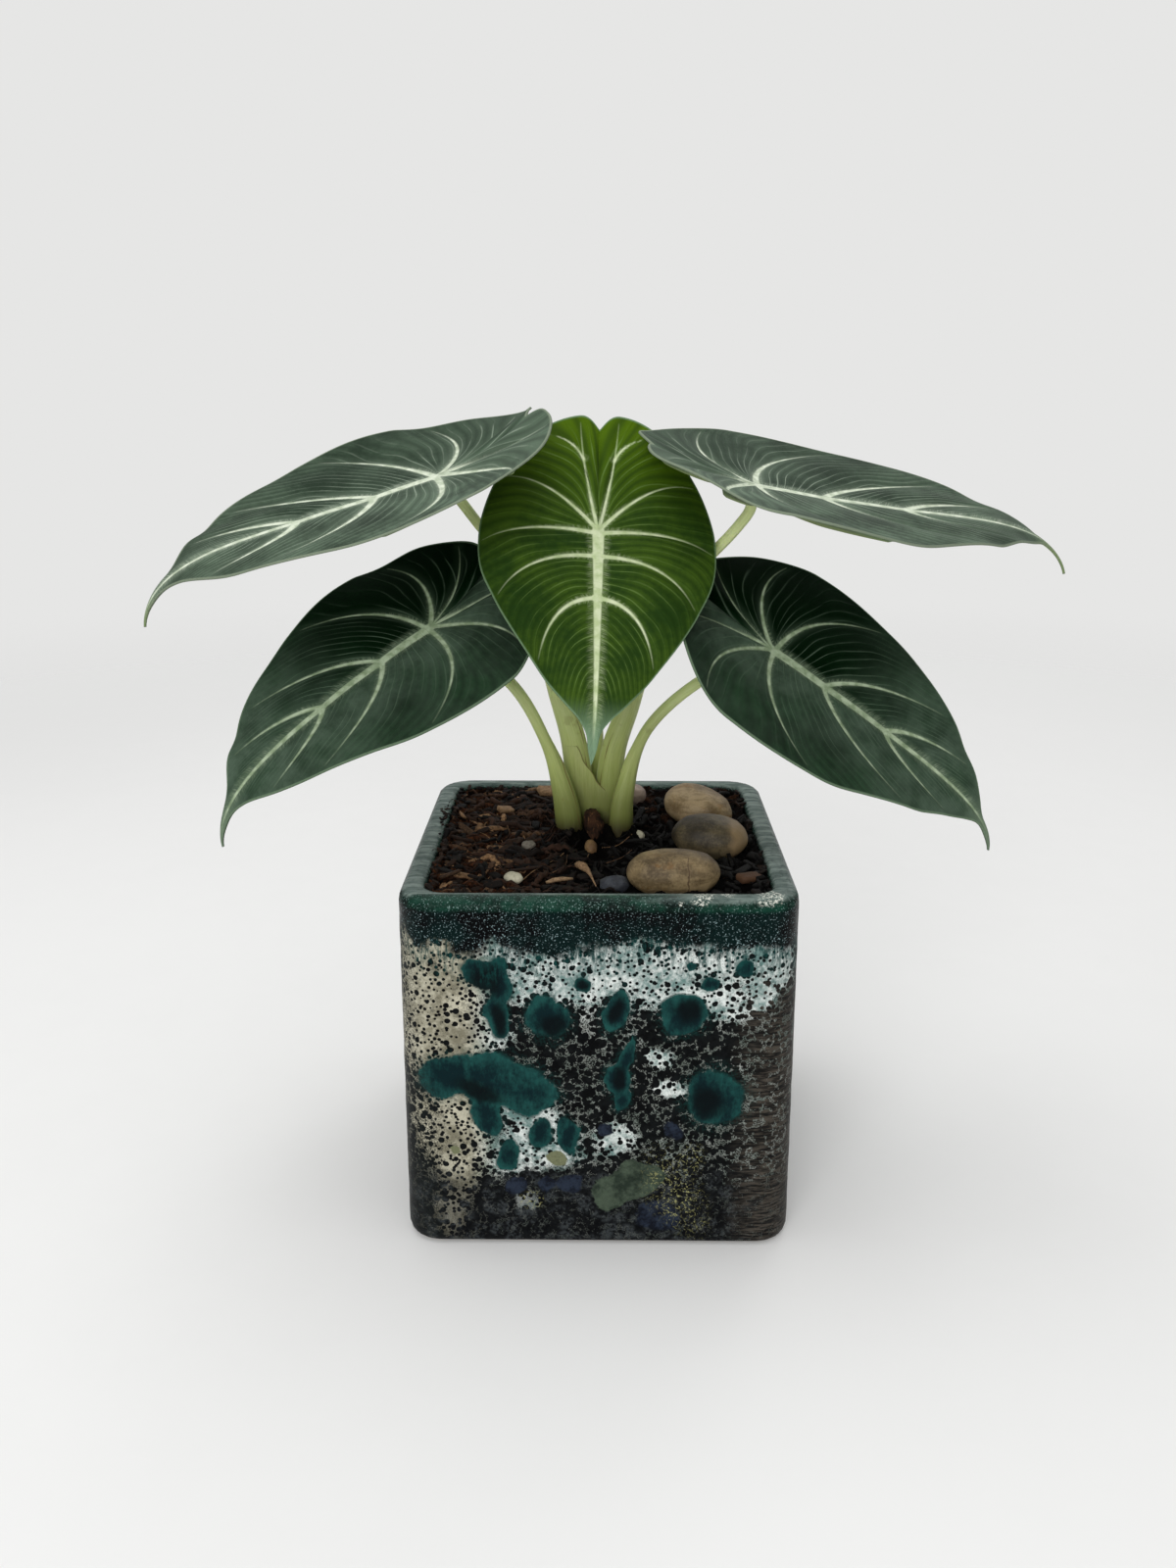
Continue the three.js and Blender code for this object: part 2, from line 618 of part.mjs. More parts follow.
const cutters = [rhizomeGeometry(HOLE_GAP)];
for (const [name, leaf] of Object.entries(LEAVES)) {
  cutters.push(stalkGeometry(STALKS[name], leaf, HOLE_GAP));
  addPiece(`petiole_${name}`, stalkGeometry(STALKS[name], leaf, 0), COLOURS.stalk);
  addPiece(`blade_${name}`, bladeGeometry(leaf), COLOURS[leaf.finish]);
}
for (const [name, stone] of Object.entries(STONES)) {
  cutters.push(stoneGeometry(stone, HOLE_GAP));
  addPiece(name, stoneGeometry(stone, 0), COLOURS[stone.finish]);
}
addPiece('rhizome', rhizomeGeometry(0), COLOURS.rhizome);
addPiece('soil', soilGeometry(cutters), COLOURS.soil);

export default plant;
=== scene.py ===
# %% [markdown]
# # A potted black velvet alocasia
# A young plant with five heart-shaped leaves grows in a glazed cube pot. River pebbles lie on its soil.
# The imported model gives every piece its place. Here each piece gets its fine shape and its finish.
# Lengths are written in millimetres, as a maker would measure them, and turned into metres when used.

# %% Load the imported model
import math
import random

import bmesh
import bpy
import numpy as np
from mathutils import Euler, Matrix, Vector, noise


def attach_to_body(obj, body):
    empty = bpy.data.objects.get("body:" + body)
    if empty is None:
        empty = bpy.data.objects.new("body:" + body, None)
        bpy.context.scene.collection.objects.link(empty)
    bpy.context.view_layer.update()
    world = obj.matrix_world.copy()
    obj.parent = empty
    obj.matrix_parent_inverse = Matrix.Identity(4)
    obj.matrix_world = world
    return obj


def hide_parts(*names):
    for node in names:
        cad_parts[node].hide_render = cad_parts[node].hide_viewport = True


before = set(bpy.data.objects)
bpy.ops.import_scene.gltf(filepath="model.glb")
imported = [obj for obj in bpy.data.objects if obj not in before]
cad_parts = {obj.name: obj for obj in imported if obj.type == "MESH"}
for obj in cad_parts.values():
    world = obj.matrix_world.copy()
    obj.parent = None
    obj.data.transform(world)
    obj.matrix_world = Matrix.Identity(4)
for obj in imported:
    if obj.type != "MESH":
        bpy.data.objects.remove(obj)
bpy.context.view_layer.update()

MM = 0.001

# %% [markdown]
# ## Camera
# The photograph looks down on the pot a little, from close by. The four sides of the pot's rim and foot
# fix such a view: where they meet the picture gives the height, the tilt and the angle of view.

# %% Place the camera
CAMERA_PLACE = (0.29 * MM, -327.68 * MM, 215.08 * MM)
CAMERA_TILT = 17.476
CAMERA_TURN = 0.5899
LENS = 28.458
SENSOR = 36.0

camera_data = bpy.data.cameras.new("camera")
camera_data.sensor_fit = "VERTICAL"
camera_data.sensor_height = SENSOR
camera_data.lens = LENS
camera_data.clip_start = 0.01
camera = bpy.data.objects.new("camera", camera_data)
camera.location = CAMERA_PLACE
camera.rotation_euler = (math.radians(90 - CAMERA_TILT), 0, math.radians(CAMERA_TURN))
bpy.context.scene.collection.objects.link(camera)
bpy.context.scene.camera = camera
bpy.context.scene.view_settings.view_transform = "Standard"
print("camera", LENS, "mm lens")

# %% [markdown]
# ## Small helpers
# Shader nodes are easier to read when one line adds a node, sets it and wires it. Colours are written as
# the 0 to 255 values that a colour picker shows, and turned into the linear values that a shader wants.


# %% Helpers for colours and shader nodes
def colour(red, green, blue):
    values = []
    for value in (red, green, blue):
        share = value / 255
        values.append(share / 12.92 if share <= 0.04045 else ((share + 0.055) / 1.055) ** 2.4)
    return (*values, 1.0)


def feed(tree, socket, value):
    """Wire a socket to another node's output, or set its value."""
    if isinstance(value, bpy.types.NodeSocket):
        tree.links.new(value, socket)
    else:
        socket.default_value = value


def add_node(tree, kind, inputs=None, **settings):
    node = tree.nodes.new(kind)
    for name, value in settings.items():
        setattr(node, name, value)
    for key, value in (inputs or {}).items():
        feed(tree, node.inputs[key], value)
    return node


def calc(tree, operation, *values):
    return add_node(tree, "ShaderNodeMath", dict(enumerate(values)), operation=operation).outputs[0]


def plus(tree, first, second):
    return calc(tree, "ADD", first, second)


def minus(tree, first, second):
    return calc(tree, "SUBTRACT", first, second)


def times(tree, first, second):
    return calc(tree, "MULTIPLY", first, second)


def larger(tree, first, second):
    return calc(tree, "MAXIMUM", first, second)


def size_of(tree, value):
    return calc(tree, "ABSOLUTE", value)


def fade(tree, value, start, end, low=0.0, high=1.0):
    inputs = {"Value": value, "From Min": start, "From Max": end, "To Min": low, "To Max": high}
    return add_node(tree, "ShaderNodeMapRange", inputs, interpolation_type="SMOOTHSTEP").outputs[0]


def blend(tree, factor, first, second):
    node = add_node(tree, "ShaderNodeMix", {0: factor, 6: first, 7: second}, data_type="RGBA")
    return node.outputs[2]


def noise_at(tree, vector, scale, detail=3.0, roughness=0.5):
    inputs = {"Vector": vector, "Scale": scale, "Detail": detail, "Roughness": roughness}
    return add_node(tree, "ShaderNodeTexNoise", inputs).outputs["Fac"]


def sway_of(tree, vector, scale, detail, amount):
    """Noise that swings evenly to both sides of nought, by half the amount at most."""
    return times(tree, minus(tree, noise_at(tree, vector, scale, detail), 0.5), amount)


def attribute(tree, name):
    return add_node(tree, "ShaderNodeAttribute", attribute_name=name).outputs["Fac"]


def join_vector(tree, x, y, z):
    return add_node(tree, "ShaderNodeCombineXYZ", {0: x, 1: y, 2: z}).outputs[0]


def split_vector(tree, vector):
    return add_node(tree, "ShaderNodeSeparateXYZ", {0: vector}).outputs


def in_mm(tree, place):
    """The place on a piece in millimetres."""
    return add_node(tree, "ShaderNodeVectorMath", {0: place, "Scale": 1 / MM}, operation="SCALE").outputs[0]


def stretch(tree, vector, scale, rotation=(0, 0, 0)):
    inputs = {"Vector": vector, "Scale": scale, "Rotation": rotation}
    return add_node(tree, "ShaderNodeMapping", inputs).outputs[0]


def new_material(name):
    material = bpy.data.materials.new(name)
    material.use_nodes = True
    tree = material.node_tree
    tree.nodes.clear()
    shader = tree.nodes.new("ShaderNodeBsdfPrincipled")
    output = tree.nodes.new("ShaderNodeOutputMaterial")
    tree.links.new(shader.outputs[0], output.inputs[0])
    place = tree.nodes.new("ShaderNodeTexCoord").outputs["Object"]
    return material, tree, shader, place


def set_shader(tree, shader, **values):
    for name, value in values.items():
        feed(tree, shader.inputs[name.replace("_", " ")], value)


def add_bump(tree, shader, height, strength, depth_mm):
    inputs = {"Height": height, "Strength": strength, "Distance": depth_mm * MM}
    feed(tree, shader.inputs["Normal"], add_node(tree, "ShaderNodeBump", inputs).outputs[0])


print("a picker's 128 is", round(colour(128, 128, 128)[0], 3), "of full light")

# %% [markdown]
# An effect that several materials share is a node group with named inputs. The first one is mottling: most
# things that grow or lie outdoors change colour a little from place to place, in soft patches and in grain.


# %% A shared group for mottled colour
def make_group(name, inputs, outputs):
    group = bpy.data.node_groups.new(name, "ShaderNodeTree")
    for direction, sockets in (("INPUT", inputs), ("OUTPUT", outputs)):
        for socket_name, kind, value in sockets:
            socket = group.interface.new_socket(socket_name, in_out=direction, socket_type=kind)
            if value is not None:
                socket.default_value = value
    return group, group.nodes.new("NodeGroupInput"), group.nodes.new("NodeGroupOutput")


def make_mottle_group():
    group, given, result = make_group(
        "mottle",
        [("Vector", "NodeSocketVector", None), ("Patch Scale", "NodeSocketFloat", 100.0),
         ("Grain Scale", "NodeSocketFloat", 900.0), ("Light", "NodeSocketColor", (1, 1, 1, 1)),
         ("Dark", "NodeSocketColor", (0, 0, 0, 1)), ("Grain Amount", "NodeSocketFloat", 0.3)],
        [("Color", "NodeSocketColor", None), ("Height", "NodeSocketFloat", None)])
    take = given.outputs
    patch = noise_at(group, take["Vector"], take["Patch Scale"], 4.0, 0.55)
    grain = noise_at(group, take["Vector"], take["Grain Scale"], 3.0, 0.6)
    grained = times(group, minus(group, grain, 0.5), take["Grain Amount"])
    height = plus(group, patch, grained)
    share = fade(group, height, 0.32, 0.68)
    group.links.new(blend(group, share, take["Dark"], take["Light"]), result.inputs["Color"])
    group.links.new(height, result.inputs["Height"])
    return group


MOTTLE = make_mottle_group()


def mottle(tree, vector, light, dark, patch_scale, grain_scale, grain_amount=0.3):
    """The group placed in a material: its colour and its height."""
    inputs = {"Vector": vector, "Light": light, "Dark": dark, "Patch Scale": patch_scale,
              "Grain Scale": grain_scale, "Grain Amount": grain_amount}
    node = add_node(tree, "ShaderNodeGroup", inputs, node_tree=MOTTLE)
    return node.outputs["Color"], node.outputs["Height"]


print("group", MOTTLE.name, "with", len(MOTTLE.nodes), "nodes")

# %% [markdown]
# New pieces need a few things each time: a mesh, smooth faces, a finish, and the calls that tie them to
# the model. Everything here rides on the one body, because nothing on this plant moves on a joint.


# %% Helpers for meshes and for tying pieces to the model
def mesh_piece(name, points, faces):
    mesh = bpy.data.meshes.new(name)
    mesh.from_pydata([tuple(point) for point in points], [], [tuple(face) for face in faces])
    mesh.update()
    piece = bpy.data.objects.new(name, mesh)
    bpy.context.scene.collection.objects.link(piece)
    mesh.polygons.foreach_set("use_smooth", [True] * len(mesh.polygons))
    return piece


def store(mesh, name, values):
    """Give each point of a mesh a number that its material can read by name."""
    layer = mesh.attributes.new(name, "FLOAT", "POINT")
    layer.data.foreach_set("value", np.asarray(values, np.float32).reshape(-1))


def select_only(piece):
    bpy.ops.object.select_all(action="DESELECT")
    piece.select_set(True)
    bpy.context.view_layer.objects.active = piece


def apply_place(piece):
    select_only(piece)
    bpy.ops.object.transform_apply(location=True, rotation=True, scale=True)


def apply_modifier(piece, kind, **settings):
    select_only(piece)
    modifier = piece.modifiers.new(kind.lower(), kind)
    for name, value in settings.items():
        setattr(modifier, name, value)
    bpy.ops.object.modifier_apply(modifier=modifier.name)


def finish_piece(piece, slot, *nodes):
    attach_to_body(piece, "root")
    if nodes:
        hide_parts(*nodes)
    print(piece.name, len(piece.data.polygons), "faces")


# %% [markdown]
# ## Floor and light
# The floor is a pale disc that fades out at its edge, so no horizon shows behind the plant. The sky seen by
# the camera is the same pale grey. The light is soft: an even sky, a large lamp high in front, and two
# weaker ones overhead and behind.

# %% Floor, sky and lamps
PALE = colour(230, 230, 229)
FLOOR_RADIUS = 1.6
FADE_START = 0.22
FADE_END = 1.1

bpy.ops.object.select_all(action="DESELECT")
bpy.ops.mesh.primitive_circle_add(vertices=96, radius=FLOOR_RADIUS, fill_type="NGON", location=(0, 0, 0))
floor = bpy.context.active_object
floor.name = "floor"
material, tree, shader, place = new_material("pale_floor")
away = add_node(tree, "ShaderNodeVectorMath", {0: place}, operation="LENGTH").outputs["Value"]
tint, _ = mottle(tree, place, PALE, colour(228, 228, 227), 3.0, 60.0)
set_shader(tree, shader, Base_Color=tint, Roughness=0.9, Specular_IOR_Level=0.1,
           Alpha=fade(tree, away, FADE_START, FADE_END, 1.0, 0.0), Emission_Color=PALE,
           Emission_Strength=0.05)
floor.data.materials.append(material)

world = bpy.data.worlds.new("studio")
bpy.context.scene.world = world
world.use_nodes = True
sky = world.node_tree
sky.nodes.clear()
direction = sky.nodes.new("ShaderNodeTexCoord").outputs["Generated"]
rise = split_vector(sky, direction)[2]
lamp_grey = fade(sky, rise, -0.1, 0.9, 0.3, 0.78)
seen = sky.nodes.new("ShaderNodeLightPath").outputs["Is Camera Ray"]
lighting = add_node(sky, "ShaderNodeBackground", {0: (1, 1, 1, 1), 1: lamp_grey}).outputs[0]
backdrop = add_node(sky, "ShaderNodeBackground", {0: PALE, 1: 1.0}).outputs[0]
either = add_node(sky, "ShaderNodeMixShader", {0: seen, 1: lighting, 2: backdrop}).outputs[0]
sky.links.new(either, sky.nodes.new("ShaderNodeOutputWorld").inputs[0])


def add_lamp(name, place_mm, aim_mm, size_mm, power):
    data = bpy.data.lights.new(name, "AREA")
    data.shape = "DISK"
    data.size = size_mm * MM
    data.energy = power
    lamp = bpy.data.objects.new(name, data)
    lamp.location = Vector(place_mm) * MM
    aim = Vector(aim_mm) * MM - lamp.location
    lamp.rotation_euler = aim.to_track_quat("-Z", "Y").to_euler()
    bpy.context.scene.collection.objects.link(lamp)
    print(name, power, "W")


add_lamp("overhead_lamp", (-150, 100, 900), (0, 0, 120), 500, 1.8)
add_lamp("front_lamp", (-260, -950, 520), (0, 0, 100), 700, 5.2)
add_lamp("back_lamp", (350, 600, 600), (0, 0, 160), 350, 0.7)
print("floor", FLOOR_RADIUS, "m round the pot")

# %% [markdown]
# ## The leaf's own map
# A leaf of this plant is a shield: the stalk joins it inside its outline, and two lobes run back from
# there. Its shape is easiest to say as half a flat pattern. Each row below is one curved line of the
# pattern, from the midrib to the margin: where it starts on the midrib, the point that it bends towards,
# and where it ends. Operators can't fan such lines out from a midrib and bend the sheet three ways at
# once, so the blade is made by this formula, with the same numbers as the model's own blades. Only the
# front leaf's drip tip is a little broader here.

# %% The two patterns and the five leaves
FRONT_ROWS = np.array([
    [0, 0, -0.45, 0, -0.89], [0, 0.14, -0.5, 0.17, -1], [0, 0.1, -0.72, 0.52, -0.86],
    [0, 0.48, -0.52, 0.86, -0.42], [0.01, 0.75, -0.05, 1, 0.09], [0.12, 0.66, 0.12, 0.84, 0.36],
    [0.31, 0.42, 0.33, 0.48, 0.63], [0.51, 0.23, 0.54, 0.27, 0.75], [0.66, 0.11, 0.69, 0.125, 0.82],
    [0.79, 0.045, 0.82, 0.06, 0.87], [0.9, 0.022, 0.92, 0.034, 0.935], [1, 0, 1, 0, 1]])
SIDE_ROWS = np.array([
    [0, 0, -0.45, 0, -0.89], [0, 0.06, -0.52, 0.17, -1], [0, 0.1, -0.62, 0.42, -0.93],
    [0, 0.26, -0.66, 0.74, -0.65], [0, 0.44, -0.58, 0.93, -0.28], [0, 0.62, -0.22, 1, 0.06],
    [0.01, 0.64, 0.02, 0.87, 0.31], [0.1, 0.53, 0.17, 0.69, 0.47], [0.2, 0.38, 0.3, 0.49, 0.62],
    [0.32, 0.28, 0.41, 0.36, 0.695], [0.44, 0.2, 0.51, 0.26, 0.755], [0.62, 0.1, 0.67, 0.12, 0.82],
    [0.79, 0.035, 0.82, 0.045, 0.87], [0.9, 0.015, 0.92, 0.022, 0.935], [1, 0, 1, 0, 1]])
FRONT_VEINS = (1, 3, 4, 5, 6)
SIDE_VEINS = (2, 4, 6, 8, 10)


def leaf_facts(attach, heading, pitch, roll, length, half_width, rear_share, droop, hook, rear_rise,
               fold, curl, twist, lobe_drop, far_side=0, vein_width=0.62, front=False):
    return {"attach": attach, "heading": heading, "pitch": pitch, "roll": roll, "length": length,
            "half_width": half_width, "rear_share": rear_share, "droop": droop, "hook": hook,
            "rear_rise": rear_rise, "fold": fold, "curl": curl, "twist": twist, "lobe_drop": lobe_drop,
            "far_side": far_side, "vein_width": vein_width,
            "rows": FRONT_ROWS if front else SIDE_ROWS, "veins": FRONT_VEINS if front else SIDE_VEINS}


LEAVES = {
    "front": leaf_facts((-0.4, -1.3, 181.2), -90, -48.7, 6.8, 99, 31, 0.353, 0.24, 0.73, 0.15,
                        0.07, 0.18, 0.16, 0, front=True),
    "upper_left": leaf_facts((-41.8, 1, 195.2), 202.6, -17, 9.1, 118.4, 37.5, 0.267, -0.085, 1.33, 0.56,
                             -0.09, -0.43, 0.26, 8, far_side=1, vein_width=1.0),
    "lower_left": leaf_facts((-45, -1.6, 156), 218.7, -24.6, 16.2, 110, 34.8, 0.247, 0.26, 1.15, 0.69,
                             0.035, 0.02, 0.05, 0, far_side=1, vein_width=0.75),
    "lower_right": leaf_facts((46.9, 4.7, 148.9), -12, -33, -26.3, 115.4, 36.5, 0.256, 0.09, 0.91, 0.2,
                              0.1, 0.045, -0.3, 0, far_side=-1, vein_width=0.75),
    "upper_right": leaf_facts((39.7, -0.8, 193.1), 8, -12.1, -12.1, 125.4, 39.6, 0.249, -0.21, 1.22, 0.3,
                              -0.01, -0.22, -0.21, 0, far_side=-1, vein_width=1.0),
}
print(len(LEAVES), "leaves,", len(FRONT_ROWS), "and", len(SIDE_ROWS), "rows")

# %% [markdown]
# Between two given rows, a smooth curve through all of them gives the rest, so the outline has no corners.
# Along one row, the point moves on a simple curve from the midrib towards the bend and out to the margin.


# %% From the pattern to a flat blade
def row_at(rows, position):
    last = len(rows) - 1
    lower = np.clip(np.floor(position).astype(int), 0, last - 1)
    t = (position - lower)[:, None]
    before = rows[np.maximum(lower - 1, 0)]
    here = rows[lower]
    beyond = rows[lower + 1]
    after = rows[np.minimum(lower + 2, last)]
    leave = (beyond - before) / 2
    arrive = (after - here) / 2
    smooth = ((2 * here - 2 * beyond + leave + arrive) * t
              + (-3 * here + 3 * beyond - 2 * leave - arrive)) * t * t + leave * t + here
    smooth[:, 0] = (here + (beyond - here) * t)[:, 0]
    return smooth


def reach(leaf, share):
    rear = leaf["rear_share"]
    return share * leaf["length"] * np.where(share < 0, rear, 1 - rear)


def flat_blade(leaf, position, across):
    """The flat pattern's x and y, at some positions along the rows and shares of the way across."""
    start, bend_x, bend_y, end_x, end_y = (part[:, None] for part in row_at(leaf["rows"], position).T)
    a = across[None, :]
    rest = 1 - a
    x = 2 * a * rest * bend_x + a * a * end_x
    y = rest * rest * reach(leaf, start) + 2 * a * rest * reach(leaf, bend_y) + a * a * reach(leaf, end_y)
    return np.maximum(x, 0) * leaf["half_width"], y


for leaf_name, leaf in LEAVES.items():
    margin_x, _ = flat_blade(leaf, np.linspace(0, len(leaf["rows"]) - 1, 60), np.array([1.0]))
    print(leaf_name, "leaf:", leaf["length"], "mm long and", round(2 * margin_x.max()), "mm wide")

# %% [markdown]
# The flat sheet is bent in the same steps as the real one seems to be: the midrib droops and hooks towards
# the tip, the halves curl across it, and the whole blade twists a little. Then it is turned into its place.

# %% From the flat blade to its place on the plant
MIDRIB_STEPS = 60
MIDRIB_HALF_WIDTH = 2.2
LEAST_CURL = 1e-6


def midrib_slope(leaf, share):
    ahead = -(leaf["droop"] * share + leaf["hook"] * share ** 6)
    return np.where(share < 0, leaf["rear_rise"] * share, ahead)


def midrib_point(leaf, along):
    rear = leaf["rear_share"]
    share = along / (leaf["length"] * np.where(along < 0, rear, 1 - rear))
    y = np.zeros_like(along)
    z = np.zeros_like(along)
    for step in range(MIDRIB_STEPS):
        slope = midrib_slope(leaf, share * (step + 0.5) / MIDRIB_STEPS)
        y += np.cos(slope) * along / MIDRIB_STEPS
        z += np.sin(slope) * along / MIDRIB_STEPS
    return y, z, midrib_slope(leaf, share)


def bent_blade(leaf, side, x, along, lift):
    y, z, slope = midrib_point(leaf, along)
    width = leaf["half_width"]
    share = x / width
    curl = leaf["curl"] + LEAST_CURL
    tilt = leaf["fold"] - curl * share
    lean = tilt * np.minimum(1, x / MIDRIB_HALF_WIDTH)
    out = (np.sin(leaf["fold"]) - np.sin(tilt)) * width / curl - lift * np.sin(lean)
    up = (np.cos(tilt) - np.cos(leaf["fold"])) * width / curl + lift * np.cos(lean)
    twist = leaf["twist"] * along / leaf["length"]
    rear = np.maximum(0, -along / (leaf["length"] * leaf["rear_share"]))
    drop = leaf["lobe_drop"] * share * rear ** 3 * (side > 0)
    sideways = side * out * np.cos(twist) - up * np.sin(twist)
    raised = side * out * np.sin(twist) + up * np.cos(twist) - drop
    return np.stack([sideways, y - raised * np.sin(slope), z + raised * np.cos(slope)], axis=-1)


def leaf_axes(leaf):
    heading, pitch, roll = (math.radians(leaf[key]) for key in ("heading", "pitch", "roll"))
    forward = Vector((math.cos(heading) * math.cos(pitch), math.sin(heading) * math.cos(pitch),
                      math.sin(pitch)))
    level = forward.cross(Vector((0, 0, 1))).normalized()
    upright = level.cross(forward)
    side = level * math.cos(roll) + upright * math.sin(roll)
    return side, forward, side.cross(forward)


def place_blade(leaf, points):
    axes = np.array([list(axis) for axis in leaf_axes(leaf)])
    return (np.array(leaf["attach"]) + points @ axes) * MM


print("the front leaf points along", [round(value, 2) for value in leaf_axes(LEAVES["front"])[1]])

# %% [markdown]
# The blade swells between two main veins and its margin is gently waved, as on the model's own blades. The
# shallow channels in which the veins lie are finer than the model, and are cut here over the same swells.

# %% The blade's relief
QUILT_RISE = 1.1
MARGIN_WAVE = 0.5
MARGIN_WAVE_RATE = 2.3
MARGIN_WAVE_SKEW = 0.4
TIP_ROWS = 5


def blade_lift(leaf, side, position, across):
    last = len(leaf["rows"]) - 1
    stops = np.array([0, *leaf["veins"], last])
    after = np.clip(np.searchsorted(stops, position), 1, len(stops) - 1)
    low = stops[after - 1]
    high = stops[after]
    swell = np.sin(np.pi * (position - low) / (high - low))
    narrow = np.minimum(1, (last - position) / TIP_ROWS)
    a = across[None, :]
    quilt = QUILT_RISE * (swell * narrow)[:, None] * 4 * a * (1 - a)
    rate = MARGIN_WAVE_RATE + MARGIN_WAVE_SKEW * side
    wave = MARGIN_WAVE * (narrow * np.sin(position * rate))[:, None] * a ** 3
    return quilt + wave


print("swells", QUILT_RISE, "mm high")

# %% [markdown]
# The shader has to know where the veins are. Each point of the blade therefore carries a few numbers: how
# far it is from the edge of the nearest main vein, how far along that vein it lies, how far it is from the
# margin, and its count in the fan of fine veinlets that run beside the main ones.


# %% Distances from the veins
VEIN_END = 0.94
REAR_VEIN_WIDTH = 0.45
VEIN_TIP_WIDTH = 0.04
FORK_WIDTH = 0.4
FORK_TIP_WIDTH = 0.08
MIDRIB_WIDTH = 1.55
MIDRIB_TIP_WIDTH = 0.25
FAR_AWAY = 99.0


def vein_lines(leaf):
    """Each main vein of one half as flat points, with its half width at the start and at the end."""
    run = np.linspace(0, VEIN_END, 48)
    lines = []
    for number, vein in enumerate(leaf["veins"]):
        x, y = flat_blade(leaf, np.array([float(vein)]), run)
        wide = leaf["vein_width"] if number else REAR_VEIN_WIDTH
        lines.append((np.stack([x[0], y[0]], axis=-1), wide, VEIN_TIP_WIDTH))
    if leaf["rows"] is FRONT_ROWS:
        fork = flat_blade(leaf, np.array([1.0]), np.array([0.62]))
        start = np.array([fork[0][0, 0], fork[1][0, 0]])
        end_x, end_y = flat_blade(leaf, np.array([2.0]), np.array([0.9]))
        end = np.array([end_x[0, 0], end_y[0, 0]])
        bend = np.array([start[0] + 0.25 * (end[0] - start[0]), start[1] + 0.75 * (end[1] - start[1])])
        t = np.linspace(0, 1, 24)[:, None]
        fork_line = (1 - t) ** 2 * start + 2 * t * (1 - t) * bend + t * t * end
        lines.append((fork_line, FORK_WIDTH, FORK_TIP_WIDTH))
    tip = leaf["length"] * (1 - leaf["rear_share"])
    midrib = np.stack([np.zeros(40), np.linspace(-0.2, tip, 40)], axis=-1)
    lines.append((midrib, MIDRIB_WIDTH, MIDRIB_TIP_WIDTH))
    return lines


def distance_to_line(points, line):
    """The distance from each point to a line of segments, and how far along the line it is met."""
    start = line[:-1][None]
    step = (line[1:] - line[:-1])[None]
    lengths = np.linalg.norm(step[0], axis=-1)
    before = np.concatenate([[0], np.cumsum(lengths)[:-1]])
    offset = points[:, None] - start
    share = np.clip((offset * step).sum(-1) / np.maximum((step * step).sum(-1), 1e-9), 0, 1)
    gaps = np.linalg.norm(offset - share[..., None] * step, axis=-1)
    nearest = gaps.argmin(axis=1)
    chosen = np.arange(len(points))
    along = before[nearest] + share[chosen, nearest] * lengths[nearest]
    return gaps[chosen, nearest], along, along / lengths.sum()


def vein_distances(leaf, flat):
    """For each flat point: the gap to the nearest vein, how far along it, and how hairy it is there."""
    edge = np.full(len(flat), FAR_AWAY)
    run = np.zeros(len(flat))
    brush = np.zeros(len(flat))
    for line, wide, thin in vein_lines(leaf):
        gap, along, share = distance_to_line(flat, line)
        half = thin + (wide - thin) * np.clip(1 - share, 0, 1) ** 1.3
        closer = gap - half < edge
        edge = np.where(closer, gap - half, edge)
        run = np.where(closer, along, run)
        left = np.clip(1 - share, 0, 1)
        hairy = np.minimum(1, left * 5) if wide > 1 else 0.55 * left ** 1.5
        brush = np.where(closer, hairy, brush)
    return edge, run, brush


print("main veins in each half:", {name: len(vein_lines(leaf)) for name, leaf in LEAVES.items()})

# %% [markdown]
# Now one half blade is a grid of rows and columns on its upper face, and the same grid again on its lower
# face, a leaf's thickness below. The two halves share the points of the midrib, which are then merged.

# %% Build a blade
ROWS_PER_STEP = 12
COLUMN_COUNT = 46
LEAF_THICKNESS = 0.55
RIB_DEPTH = 1.2
RIB_WIDTH = 0.9
CHANNEL_DEPTH = 0.35
CHANNEL_WIDTH = 0.8
VEINLET_GAP = 2.4


def blade_columns():
    """Closer together at the midrib and at the margin, where the form and the veins are finest."""
    even = np.linspace(0, 1, COLUMN_COUNT)
    return 0.62 * (3 * even ** 2 - 2 * even ** 3) + 0.38 * even ** 1.3


def veinlet_count(x, y):
    """A running count across the fan of rows, one step for each veinlet."""
    middle = slice(10, 30)
    spacing = np.hypot(np.diff(x, axis=0), np.diff(y, axis=0))[:, middle].mean(axis=1)
    return np.concatenate([[0], np.cumsum(spacing)]) / VEINLET_GAP


